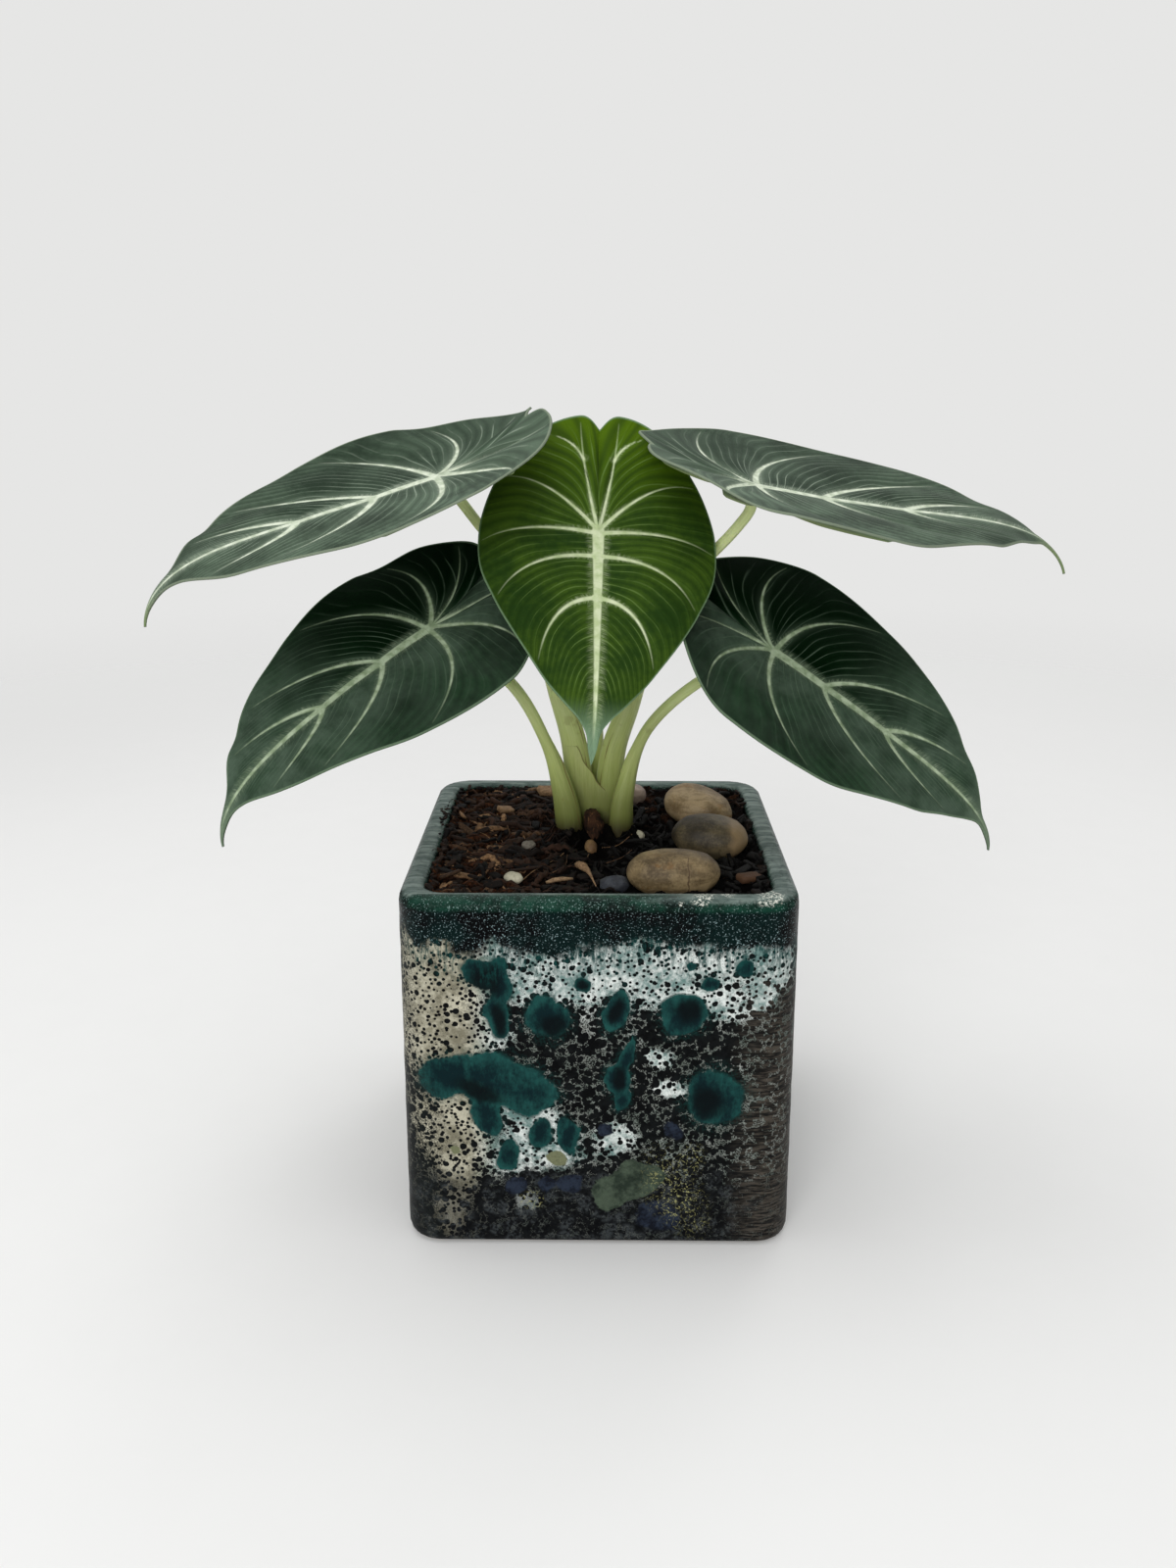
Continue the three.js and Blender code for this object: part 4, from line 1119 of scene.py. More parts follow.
def choose_faces(piece, chosen):
    """Go into edit mode with only the faces that pass the test selected."""
    select_only(piece)
    bpy.ops.object.mode_set(mode="EDIT")
    bpy.ops.mesh.select_mode(type="FACE")
    shape = bmesh.from_edit_mesh(piece.data)
    for face in shape.faces:
        face.select = chosen(face)
    bmesh.update_edit_mesh(piece.data)


# The block, narrowed a little towards the top, with round upright edges.
bpy.ops.object.select_all(action="DESELECT")
bpy.ops.mesh.primitive_cube_add(size=2 * MM, location=(0, 0, POT_HEIGHT / 2 * MM))
pot = bpy.context.active_object
pot.name = "glazed_pot"
pot.scale = (FOOT_HALF, FOOT_HALF, POT_HEIGHT / 2)
apply_place(pot)
choose_faces(pot, lambda face: face.normal.z > 0.9)
taper = TOP_HALF / FOOT_HALF
bpy.ops.transform.resize(value=(taper, taper, 1), center_override=(0, 0, POT_HEIGHT * MM))
bpy.ops.object.mode_set(mode="OBJECT")
bevel_edges(pot, lambda a, b: abs(a.z - b.z) > 1, CORNER_RADIUS, 10)

# The hollow: inset the top, round its corners less tightly, and push it down to the floor.
choose_faces(pot, lambda face: face.normal.z > 0.9)
bpy.ops.mesh.inset(thickness=WALL * MM)
shape = bmesh.from_edit_mesh(pot.data)
inner_middle = TOP_HALF - WALL - INNER_CORNER_RADIUS
for vertex in shape.verts:
    if vertex.select:
        corner = Vector((math.copysign(1, vertex.co.x), math.copysign(1, vertex.co.y), 0))
        outward = vertex.co - corner * (TOP_HALF - CORNER_RADIUS) * MM
        outward.z = 0
        level = vertex.co.z
        vertex.co = corner * inner_middle * MM + outward.normalized() * INNER_CORNER_RADIUS * MM
        vertex.co.z = level
bmesh.update_edit_mesh(pot.data)
bpy.ops.mesh.extrude_region_move(TRANSFORM_OT_translate={"value": (0, 0, (FLOOR - POT_HEIGHT) * MM)})
bpy.ops.mesh.select_all(action="SELECT")
bpy.ops.mesh.normals_make_consistent(inside=False)
bpy.ops.object.mode_set(mode="OBJECT")


def on_level(a, b, level):
    return abs(a.z - level) < 0.1 and abs(b.z - level) < 0.1


def outside(point):
    return max(abs(point.x), abs(point.y)) > 45


bevel_edges(pot, lambda a, b: on_level(a, b, POT_HEIGHT) and outside(a) and outside(b), OUTER_LIP, 7)
bevel_edges(pot, lambda a, b: on_level(a, b, POT_HEIGHT) and not (outside(a) or outside(b)), INNER_LIP, 6)
bevel_edges(pot, lambda a, b: on_level(a, b, 0), FOOT_ROUND, 5)
bevel_edges(pot, lambda a, b: on_level(a, b, FLOOR), FLOOR_ROUND, 4)
apply_modifier(pot, "REMESH", mode="VOXEL", voxel_size=FACE_SIZE * MM)
select_only(pot)
bpy.ops.object.shade_smooth()
print("pot", len(pot.data.polygons), "faces")

# %% [markdown]
# ## The glaze
# This is a reactive crater glaze. A pale layer boiled over a black one while it was melting: the pale layer
# is left as foam with black pits, and teal glass gathered in pools. Under the rim a dark green glaze ran
# down over both. The front's own pools and pale patches are given by a short list of ovals, in millimetres
# to the right of the front's middle and above the foot. The other three sides get random ones like them.
# Each point of the pot then carries its distance from the nearest oval of every kind.

# %% Pools and pale patches: middle, height, half width, half height, turn
TEAL_POOLS = [
    (-29.5, 78.6, 5.0, 3.6, -18), (-24.6, 76.5, 2.9, 6.0, 4), (-25.2, 67.0, 2.9, 6.2, 6),
    (-12.3, 66.5, 5.2, 5.9, 10), (-4.3, 75.7, 2.0, 2.0, 0), (4.4, 68.6, 3.3, 5.6, -20),
    (21.0, 67.9, 6.0, 5.6, 15), (36.1, 80.4, 2.1, 2.7, 10), (28.2, 76.2, 2.3, 1.8, 0),
    (22.9, 81.3, 1.4, 1.0, 0), (6.9, 55.5, 1.7, 6.0, -16), (4.6, 49.0, 3.2, 5.0, -10),
    (5.6, 43.2, 2.2, 3.2, 0), (29.6, 44.2, 7.0, 7.6, 0), (-37.5, 50.2, 8.2, 5.8, 14),
    (-27.0, 49.0, 10.6, 7.4, -16), (-17.4, 45.2, 6.2, 6.0, -40), (-28.5, 39.0, 3.6, 6.0, 12),
    (-15.0, 34.1, 2.9, 4.2, -8), (-23.0, 27.2, 3.3, 4.5, 0), (-7.6, 32.8, 3.0, 5.8, 8)]
DARK_CORES = [
    (-28.2, 76.5, 4.4, 4.6, 0), (-24.8, 66.0, 1.8, 4.8, 0), (-11.2, 63.8, 3.6, 3.8, 0),
    (-4.3, 75.7, 1.7, 1.7, 0), (22.4, 68.6, 3.3, 3.4, 0), (27.8, 43.2, 4.4, 4.8, 0),
    (4.9, 49.6, 1.6, 4.4, -10), (4.4, 69.0, 1.8, 3.6, -20), (-30.0, 45.8, 7.0, 2.6, -22)]
STONE_POOLS = [(8.6, 19.2, 9.0, 5.6, 24), (2.6, 15.6, 4.4, 5.0, 0)]
OLIVE_POOLS = [(-11.4, 26.2, 2.8, 2.3, 0), (-36.5, 28.5, 1.7, 1.2, 0)]
SLATE_POOLS = [(-21.0, 17.9, 2.3, 2.8, 10), (-7.0, 18.7, 3.6, 3.0, 0), (-13.5, 18.6, 2.6, 2.2, 0),
               (16.0, 9.0, 6.0, 4.5, 0), (1.5, 34.8, 2.1, 2.3, 0), (18.6, 34.0, 2.4, 2.6, 0)]
PALE_ZONES = [
    (-40.5, 76.0, 9.0, 14.0, 0), (-46.0, 62.0, 5.5, 10.0, 0), (-28.0, 86.0, 7.5, 4.5, 0),
    (-3.0, 78.8, 16.5, 6.6, 0), (17.0, 78.0, 8.5, 5.8, 0), (31.0, 82.0, 8.5, 6.5, 18),
    (43.5, 84.0, 5.0, 6.0, 0), (26.5, 72.0, 7.5, 4.6, 0), (40.0, 74.0, 2.5, 4.0, 0),
    (15.0, 55.6, 2.6, 1.8, 0), (18.4, 46.4, 3.0, 1.8, 0), (5.0, 32.6, 4.0, 3.4, 0),
    (-16.5, 38.5, 7.5, 4.0, -35), (-16.0, 29.0, 8.0, 5.5, 0), (-36.5, 36.0, 7.5, 8.0, 0),
    (-37.0, 22.0, 4.6, 9.0, 0), (-39.0, 10.0, 3.0, 6.0, 0), (-33.0, 60.5, 8.0, 4.0, 20),
    (-18.0, 14.0, 2.0, 2.6, 0)]
GOLD_WEBS = [(20.0, 16.0, 7.0, 14.0, 25), (24.0, 26.0, 4.0, 5.0, 0), (-17.0, 14.0, 3.0, 3.0, 0)]
GLINTS = [(26.0, 97.6, 3.4, 1.3, 6), (20.0, 97.0, 1.3, 0.8, 0), (31.5, 98.2, 1.6, 0.8, 0),
          (42.0, 97.6, 4.6, 1.6, 0)]
print(len(TEAL_POOLS), "teal pools and", len(PALE_ZONES), "pale patches on the front")

# %% Random ovals for the sides and the back
DIAGONAL = 48.2
AROUND = 8 * DIAGONAL
FRONT_END = 64


def random_ovals(seed, count, low, high, small, large):
    chance = random.Random(seed)
    ovals = []
    for _ in range(count):
        around = chance.uniform(FRONT_END, AROUND - FRONT_END)
        half = chance.uniform(small, large)
        ovals.append((around, chance.uniform(low, high), half, half * chance.uniform(0.7, 1.4),
                      chance.uniform(-40, 40)))
    return ovals


side_pools = random_ovals(3, 46, 22, 84, 1.4, 6.5)
TEAL_POOLS += side_pools
DARK_CORES += [(a + 0.5, z - 0.8, w * 0.55, h * 0.6, t) for a, z, w, h, t in side_pools[::2]]
PALE_ZONES += random_ovals(5, 44, 26, 90, 4.0, 11.0)
STONE_POOLS += random_ovals(7, 4, 12, 22, 5.0, 9.0)
SLATE_POOLS += random_ovals(9, 12, 8, 24, 2.0, 5.0)
OLIVE_POOLS += random_ovals(11, 5, 20, 34, 1.5, 3.0)
GOLD_WEBS += random_ovals(13, 5, 8, 30, 4.0, 9.0)
print(len(TEAL_POOLS), "teal pools and", len(PALE_ZONES), "pale patches all round")

# %% [markdown]
# No oval of melted glaze is quite an oval, so the points are shifted by noise before their distances are
# taken. The pools stand a little proud of the wall, like drops of glass.


# %% Distances from the ovals

def around_pot(x, y):
    """The way round the pot in mm from the front's middle, to the right."""
    return np.where(abs(x) <= abs(y), np.where(y < 0, x, 4 * DIAGONAL - x),
                    np.where(x > 0, 2 * DIAGONAL + y, -2 * DIAGONAL - y))


def oval_distance(around, height, ovals):
    """How far the nearest oval's middle is, counted so that 1 is its outline. Near ovals run together."""
    nearest = np.full(len(around), 9.0)
    for centre, level, half_width, half_height, turn in ovals:
        aside = (around - centre + AROUND / 2) % AROUND - AROUND / 2
        above = height - level
        cos, sin = math.cos(math.radians(turn)), math.sin(math.radians(turn))
        one = np.hypot((aside * cos + above * sin) / half_width,
                       (above * cos - aside * sin) / half_height)
        blend = np.clip(0.5 + (nearest - one) / 0.5, 0, 1)
        nearest = nearest * (1 - blend) + one * blend - 0.25 * blend * (1 - blend)
    return nearest


mesh = pot.data
spots = np.empty(len(mesh.vertices) * 3)
mesh.vertices.foreach_get("co", spots)
spots = spots.reshape(-1, 3) / MM
around = around_pot(spots[:, 0], spots[:, 1])
noise.seed_set(4)
shift = np.array([list(noise.noise_vector(Vector(spot) * 0.16)) for spot in spots])
shift += 0.35 * np.array([list(noise.noise_vector(Vector(spot) * 0.55)) for spot in spots])
warped_around = around + 1.5 * shift[:, 0] + 0.8 * shift[:, 1]
warped_height = spots[:, 2] + 1.5 * shift[:, 2]
OVALS = {"pool": TEAL_POOLS, "core": DARK_CORES, "stone": STONE_POOLS, "olive": OLIVE_POOLS,
         "slate": SLATE_POOLS, "pale": PALE_ZONES, "gold": GOLD_WEBS, "glint": GLINTS}
distances = {name: oval_distance(warped_around, warped_height, ovals) for name, ovals in OVALS.items()}
distances["around"] = around
outer = (np.maximum(abs(spots[:, 0]), abs(spots[:, 1])) > 46.5) & (spots[:, 2] < 96)
normals = np.empty(len(mesh.vertices) * 3)
mesh.vertices.foreach_get("normal", normals)
raised = 0.3 * np.clip(1.3 - distances["pool"], 0, 0.6) + 0.12 * np.clip(1.3 - distances["pale"], 0, 0.6)
raised = (raised + 0.12 * shift[:, 0]) * outer * np.clip(spots[:, 2] / 4, 0, 1)
spots += normals.reshape(-1, 3) * raised[:, None]
spots[:, 2] = np.where(spots[:, 2] < 0.25, 0, spots[:, 2])
mesh.vertices.foreach_set("co", (spots * MM).reshape(-1))
for name, distance in distances.items():
    store(mesh, name, distance)
print("glaze fields", list(distances))


# %% [markdown]
# The material lays the glazes on one after another, as in the kiln: the black ground, patches of pale foam
# with their pits, the pools, a golden web, and last the band that ran down from the rim, and the rim.

# %% Helpers for the glaze
def cells(tree, vector, scale, feature="F1"):
    """Distances in a pattern of cells, from their middles or from their edges."""
    inputs = {"Vector": vector, "Scale": scale}
    return add_node(tree, "ShaderNodeTexVoronoi", inputs, feature=feature).outputs[0]


def wobble(tree, vector, scale, amount):
    """The place shifted by noise, so that what is drawn there is uneven."""
    inputs = {"Vector": vector, "Scale": scale, "Detail": 2.0}
    shift = add_node(tree, "ShaderNodeTexNoise", inputs).outputs["Color"]
    scaled = add_node(tree, "ShaderNodeVectorMath", {0: shift, 1: (amount,) * 3, 2: (-amount / 2,) * 3},
                      operation="MULTIPLY_ADD").outputs[0]
    return add_node(tree, "ShaderNodeVectorMath", {0: vector, 1: scaled}, operation="ADD").outputs[0]


# %% The glaze material
BAND_END = 98.5
LIP_START = 94.4
RIM_START = 97.2
FOOT_CLAY = 1.0
INNER_WALL = TOP_HALF - 5.4

glaze, tree, shader, place = new_material("crater_glaze")
point = in_mm(tree, place)
x, y, z = split_vector(tree, point)
fields = {name: attribute(tree, name) for name in distances}
broad = noise_at(tree, point, 0.11, 5.0, 0.62)
fine = noise_at(tree, point, 1.5, 4.0, 0.7)
speckle = noise_at(tree, point, 3.0, 2.0, 0.6)
fine_shift = times(tree, minus(tree, fine, 0.5), 0.3)
low = fade(tree, plus(tree, z, times(tree, broad, 16.0)), 36.0, 22.0)

# Black ground, night blue low down, brown and streaked by one upright edge.
black, _ = mottle(tree, point, colour(12, 15, 16), colour(1, 2, 3), 0.16, 0.9, 0.9)
night, _ = mottle(tree, point, colour(52, 56, 58), colour(8, 10, 13), 0.3, 1.2, 1.2)
# Painted shade: darker towards the edges of large cells, so that they look like rounded lumps.
lump = cells(tree, wobble(tree, point, 0.2, 2.2), 0.27)
night = blend(tree, fade(tree, lump, 0.34, 0.66, 0.0, 0.9), night, colour(3, 4, 6))
ground = blend(tree, low, black, night)
streaks = noise_at(tree, stretch(tree, point, (0.25, 0.25, 1.9)), 1.0, 4.0, 0.7)
brown = blend(tree, fade(tree, streaks, 0.4, 0.66), colour(18, 17, 16), colour(82, 76, 68))
corner = fade(tree, times(tree, x, times(tree, y, -1.0)), 1600.0, 2150.0, 0.0, 0.85)
corner = times(tree, corner, fade(tree, z, 84.0, 64.0))
ground = blend(tree, corner, ground, brown)

# The pale layer is foam. Where it is thick it has small pits; where it is thin only the walls are left.
pale_field = fade(tree, fields["pale"], 2.3, 0.35)
uneven = times(tree, minus(tree, broad, 0.5), 1.3)
hollow = minus(tree, minus(tree, 1.0, pale_field), uneven)
hollow = plus(tree, hollow, times(tree, low, 0.3))
small = cells(tree, wobble(tree, point, 0.9, 0.2), 2.0)
middle = cells(tree, wobble(tree, point, 0.5, 0.3), 0.75)
large = cells(tree, wobble(tree, point, 0.3, 0.5), 0.36)
small_gap = minus(tree, small, fade(tree, hollow, 0.0, 1.0, 0.1, 0.4))
middle_gap = minus(tree, middle, fade(tree, hollow, 0.0, 1.0, 0.32, 0.53))
large_gap = minus(tree, large, fade(tree, hollow, 0.0, 1.0, 0.27, 0.46))
foam = times(tree, fade(tree, small_gap, -0.04, 0.05), fade(tree, middle_gap, -0.02, 0.03))
foam = times(tree, foam, fade(tree, large_gap, -0.01, 0.015))
grit = fade(tree, minus(tree, speckle, times(tree, hollow, 0.16)), 0.22, 0.36)
foam = times(tree, times(tree, foam, grit), fade(tree, low, 0.0, 1.0, 1.0, 0.3))
sooty = fade(tree, noise_at(tree, point, 0.5, 5.0, 0.75), 0.52, 0.66, 0.0, 0.6)
cream, _ = mottle(tree, point, colour(190, 186, 166), colour(124, 120, 102), 0.12, 0.8, 0.5)
white, _ = mottle(tree, point, colour(220, 226, 222), colour(104, 132, 128), 0.14, 0.9, 0.6)
pale_colour = blend(tree, fade(tree, fields["around"], -24.0, -34.0), white, cream)
pale_colour = blend(tree, sooty, pale_colour, colour(54, 56, 52))
pale_colour = blend(tree, fade(tree, hollow, 0.4, 1.0, 0.0, 0.8), pale_colour, colour(92, 95, 87))
ground = blend(tree, foam, ground, pale_colour)
pits = minus(tree, 1.0, foam)

# Pools of teal glass with a ragged halo and a darker core, then pools of other colours.
pool_value = plus(tree, fields["pool"], fine_shift)
pool = fade(tree, pool_value, 1.08, 0.94)
halo = times(tree, fade(tree, pool_value, 1.6, 1.0, 0.0, 0.5), fade(tree, fine, 0.45, 0.62))
ground = blend(tree, halo, ground, colour(22, 66, 62))
flow = noise_at(tree, stretch(tree, point, (0.6, 0.6, 0.3)), 1.0, 5.0, 0.7)
inward = plus(tree, times(tree, pool_value, 0.6), times(tree, flow, 1.3))
inward = fade(tree, plus(tree, inward, times(tree, broad, 1.2)), 1.35, 2.1)
teal = blend(tree, inward, colour(5, 30, 34), colour(28, 76, 72))
teal = blend(tree, fade(tree, fields["core"], 1.4, 0.5, 0.0, 0.92), teal, colour(2, 9, 12))
ground = blend(tree, pool, ground, teal)
outline = fade(tree, size_of(tree, minus(tree, pool_value, 1.04)), 0.07, 0.0, 0.0, 0.6)
ground = blend(tree, times(tree, outline, fade(tree, broad, 0.4, 0.6)), ground, colour(2, 14, 14))
stone, _ = mottle(tree, point, colour(72, 84, 70), colour(36, 46, 38), 0.12, 0.8, 0.5)
stone_pool = fade(tree, plus(tree, fields["stone"], fine_shift), 1.04, 0.96)
ground = blend(tree, stone_pool, ground, stone)
ground = blend(tree, fade(tree, fields["olive"], 1.05, 0.9), ground, colour(112, 116, 88))
slate, _ = mottle(tree, point, colour(38, 46, 60), colour(14, 18, 28), 0.3, 1.4, 0.6)
slate_pool = fade(tree, plus(tree, fields["slate"], fine_shift), 1.1, 0.85)
ground = blend(tree, slate_pool, ground, slate)
web = fade(tree, cells(tree, wobble(tree, point, 1.2, 1.6), 0.7, "DISTANCE_TO_EDGE"), 0.09, 0.02)
gold = times(tree, times(tree, web, fade(tree, fields["gold"], 1.3, 0.3)), fade(tree, fine, 0.48, 0.6))
ground = blend(tree, gold, ground, colour(170, 168, 112))

# The dipped band that ran down from the rim in a fringe, speckled with pale grains.
drip = plus(tree, times(tree, noise_at(tree, point, 0.07, 3.0, 0.55), 22.0), times(tree, fine, 4.0))
above = minus(tree, plus(tree, z, drip), BAND_END)
running = noise_at(tree, stretch(tree, point, (0.9, 0.9, 0.22)), 1.0, 5.0, 0.75)
fringe = times(tree, fade(tree, above, -11.0, 0.0, 0.0, 0.95), fade(tree, running, 0.56, 0.4))
ground = blend(tree, fringe, ground, blend(tree, fine, colour(0, 8, 9), colour(22, 84, 80)))
specks = fade(tree, noise_at(tree, point, 2.6, 1.0, 0.5), 0.62, 0.69)
band = fade(tree, above, -1.6, 1.6)
band_colour = blend(tree, fade(tree, broad, 0.42, 0.62), colour(0, 1, 2), colour(2, 24, 23))
sparse = times(tree, specks, fade(tree, fine, 0.4, 0.58, 0.25, 0.9))
band_colour = blend(tree, sparse, band_colour, colour(140, 164, 166))
ground = blend(tree, band, ground, band_colour)

# The left edge, where the glaze is thin and dark, the rounded lip and the brushed rim. The rim is worn
# pale on top. In front it keeps the lip's dark speckled glaze, and inside it is stained by the soil.
lower_left = times(tree, fade(tree, z, 56.0, 40.0), -5.5)
edge_dark = fade(tree, plus(tree, x, lower_left), -43.0, -49.0, 0.0, 0.85)
edge_dark = times(tree, edge_dark, fade(tree, speckle, 0.58, 0.42))
ground = blend(tree, edge_dark, ground, colour(24, 29, 28))
green = blend(tree, fade(tree, broad, 0.38, 0.6), colour(10, 26, 22), colour(24, 66, 52))
green = blend(tree, times(tree, specks, 0.7), green, colour(128, 158, 150))
ground = blend(tree, fade(tree, z, LIP_START, LIP_START + 1.4, 0.0, 0.8), ground, green)
brushed = noise_at(tree, stretch(tree, point, (0.1, 0.6, 0.6)), 1.0, 4.0, 0.6)
rim = blend(tree, fade(tree, brushed, 0.35, 0.68), colour(76, 92, 87), colour(124, 138, 132))
top = fade(tree, plus(tree, z, times(tree, fine, 1.2)), RIM_START, RIM_START + 1.1)
in_front = fade(tree, plus(tree, y, times(tree, fine, 2.4)), -44.4, -45.8)
not_right = fade(tree, plus(tree, x, times(tree, broad, 20.0)), 34.0, 18.0, 0.0, 0.9)
top = times(tree, top, minus(tree, 1.0, times(tree, in_front, not_right)))
ground = blend(tree, top, ground, rim)
aside = larger(tree, size_of(tree, x), size_of(tree, y))
below_rim = fade(tree, plus(tree, z, times(tree, fine, 2.4)), 98.6, 97.4)
stained = times(tree, fade(tree, aside, INNER_WALL + 1.6, INNER_WALL), below_rim)
ground = blend(tree, stained, ground, colour(15, 12, 10))

# Pale glints on the front rim, and the bare clay of the foot.
glint = times(tree, fade(tree, fields["glint"], 1.1, 0.5), fade(tree, fine, 0.5, 0.56))
ground = blend(tree, glint, ground, colour(226, 228, 216))
clay, _ = mottle(tree, point, colour(150, 136, 116), colour(112, 98, 82), 0.2, 1.5)
bare = fade(tree, plus(tree, z, times(tree, fine, 0.8)), FOOT_CLAY, FOOT_CLAY / 2)
ground = blend(tree, bare, ground, clay)
gloss = fade(tree, larger(tree, pool, larger(tree, band, top)), 0.0, 1.0, 0.42, 0.2)
set_shader(tree, shader, Base_Color=ground, Roughness=gloss, Specular_IOR_Level=0.06)
relief = minus(tree, 1.0, times(tree, pits, minus(tree, 1.0, pool)))
relief = plus(tree, relief, times(tree, fine, 0.25))
add_bump(tree, shader, relief, 0.6, 0.6)
pot.data.materials.clear()
pot.data.materials.append(glaze)
finish_piece(pot, "pot_glaze", "pot")

# %% [markdown]
# ## The soil
# The pot is filled almost to the rim with a chunky mix of bark and coconut fibre. The body is a fine grid
# with rounded corners, whose edge is drawn down to the pot's floor and closed there. Its relief is made of
# noise drawn out into strands: they lie across the pot on the left and fan out from the crown elsewhere.
# It is heaped at the front stalks' feet and banked against the pot. Loose pieces are laid on it afterwards.

# %% Build the soil body
SOIL_TOP = 95.3
SOIL_BUMP = 0.9
SOIL_GAP = 0.3
SOIL_HALF = TOP_HALF - WALL - SOIL_GAP
SOIL_CORNER = INNER_CORNER_RADIUS - SOIL_GAP
SOIL_CUTS = 236
CROWN = (-1.2, 8.0)
HEAP = 3.0
HEAP_REACH = 7.0
HEAPED_FEET = ((-8.6, 0.8), (5.4, 0.8))
EDGE_REACH = 5
BANK = 1.5
RIDGE_RISE = 1.5
LUMP_RISE = 1.1
GRAIN_RISE = 0.5
RELIEF_SINK = 0.75


def soil_height(x, y):
    mounds = np.sin(x * 0.19 + 0.6) * np.cos(y * 0.17 - 0.9)
    lumps = np.sin(x * 0.43 - y * 0.31 + 2.1) * np.cos(y * 0.47 + x * 0.12)
    heaped = sum(np.clip((HEAP_REACH - np.hypot(x - a, y - b)) / 2.8, 0, 1) for a, b in HEAPED_FEET)
    return SOIL_TOP + SOIL_BUMP * (0.6 * mounds + 0.7 * lumps) + HEAP * heaped


def leftness_at(x, middle, softness):
    """1 far to the left of the middle, 0 far to its right."""
    return 1 / (1 + math.exp((x - middle) / softness))


def strand_relief(x, y):
    """Ridges of fibre, from 0 in a gap to 1 on a ridge."""
    leftness = leftness_at(x, -14, 4)
    swirl = noise.noise(Vector((x * 0.05, y * 0.05, 3.1))) * 9
    across = noise.noise(Vector((x * 0.13, (y + swirl) * 0.85, 0.0)))
    from_crown = math.hypot(x - CROWN[0], y - CROWN[1])
    angle = math.atan2(y - CROWN[1], x - CROWN[0])
    fan = noise.noise(Vector((math.cos(angle) * 6, math.sin(angle) * 6, from_crown * 0.11 + 7)))
    return max(0.0, 1 - abs(across * leftness + fan * (1 - leftness)) * 2.4)


def soil_relief(x, y):
    """The strands, lumps and grain at one place."""
    lump = noise.noise(Vector((x * 0.34, y * 0.34, 1.7)))
    grain = noise.noise(Vector((x * 1.3, y * 1.3, 5.2)))
    return strand_relief(x, y), lump, grain


def soil_surface(x, y, ridge, lump, grain):
    """The soil's height, from its mounds and its relief. It works on numbers and on arrays."""
    inset = np.clip((SOIL_HALF - np.maximum(abs(x), abs(y))) / EDGE_REACH, 0, 1)
    bank = BANK * np.clip(1 - inset * 1.4, 0, 1)
    relief = RIDGE_RISE * ridge + LUMP_RISE * lump + GRAIN_RISE * grain - RELIEF_SINK + bank
    return SOIL_TOP + inset * (soil_height(x, y) - SOIL_TOP) + relief


bpy.ops.object.select_all(action="DESELECT")
bpy.ops.mesh.primitive_grid_add(x_subdivisions=SOIL_CUTS, y_subdivisions=SOIL_CUTS,
                                size=2 * SOIL_HALF * MM, location=(0, 0, SOIL_TOP * MM))
soil = bpy.context.active_object
soil.name = "bark_soil"
apply_place(soil)
spots = np.array([vertex.co[:] for vertex in soil.data.vertices]) / MM
plain = SOIL_HALF - SOIL_CORNER
past = np.maximum(abs(spots[:, :2]) - plain, 0)
pull = past.max(axis=1) / np.maximum(np.hypot(past[:, 0], past[:, 1]), 1e-6)
in_corner = (past[:, 0] > 0) & (past[:, 1] > 0)
rounded = np.sign(spots[:, :2]) * (plain + past * pull[:, None])
spots[:, :2] = np.where(in_corner[:, None], rounded, spots[:, :2])
ridge, lump, grain = np.array([soil_relief(x, y) for x, y, _ in spots]).T
spots[:, 2] = soil_surface(spots[:, 0], spots[:, 1], ridge, lump, grain)
soil.data.vertices.foreach_set("co", (spots * MM).reshape(-1))
store(soil.data, "ridge", ridge * 0.6 + lump * 0.3 + grain * 0.3)
print("soil from", spots[:, 2].min().round(1), "to", spots[:, 2].max().round(1), "mm above the foot")

# %% Draw the soil's edge down to the pot's floor
select_only(soil)
bpy.ops.object.mode_set(mode="EDIT")
bpy.ops.mesh.select_mode(type="EDGE")
bpy.ops.mesh.select_all(action="DESELECT")
bpy.ops.mesh.select_non_manifold()
bpy.ops.mesh.extrude_edges_move(TRANSFORM_OT_translate={"value": (0, 0, -4 * MM)})
bpy.ops.mesh.extrude_edges_move(TRANSFORM_OT_translate={"value": (0, 0, -60 * MM)})
bpy.ops.transform.resize(value=(1, 1, 0), center_override=(0, 0, (FLOOR + SOIL_GAP) * MM))
bpy.ops.mesh.edge_face_add()
bpy.ops.mesh.select_all(action="SELECT")
bpy.ops.mesh.normals_make_consistent(inside=False)
bpy.ops.object.mode_set(mode="OBJECT")
bpy.ops.object.shade_smooth()
print("soil", len(soil.data.polygons), "faces")

# %% [markdown]
# Bark and fibre are reddish brown where they are dry, on the left. Round the crown and in front they are
# nearly black, partly damp and partly painted shade under the leaves. The gaps between the strands are
# darkened as painted shade, and the pale fibre on the ridges is partly painted highlight.

# %% The soil's finish
bark_mix, tree, shader, place = new_material("bark_mix")
point = in_mm(tree, place)
x, y, _ = split_vector(tree, point)
drift = sway_of(tree, point, 0.07, 3.0, 26.0)
left = fade(tree, plus(tree, x, drift), -10.0, -30.0)
rear = fade(tree, plus(tree, y, drift), 6.0, 24.0, 0.0, 0.45)
dry = larger(tree, left, rear)
red, _ = mottle(tree, point, colour(80, 48, 30), colour(20, 12, 8), 0.35, 2.0, 0.8)
# Nearly black round the crown and in front: partly damp bark, partly painted shade under the leaves.
damp, _ = mottle(tree, point, colour(8, 6, 5), colour(1, 1, 0), 0.4, 2.0, 0.8)
ground = blend(tree, dry, damp, red)
# Painted shade: the gaps between the ridges are darkened nearly to black.
high = fade(tree, attribute(tree, "ridge"), 0.25, 0.62)
ground = blend(tree, high, blend(tree, 0.88, ground, colour(3, 2, 2)), ground)
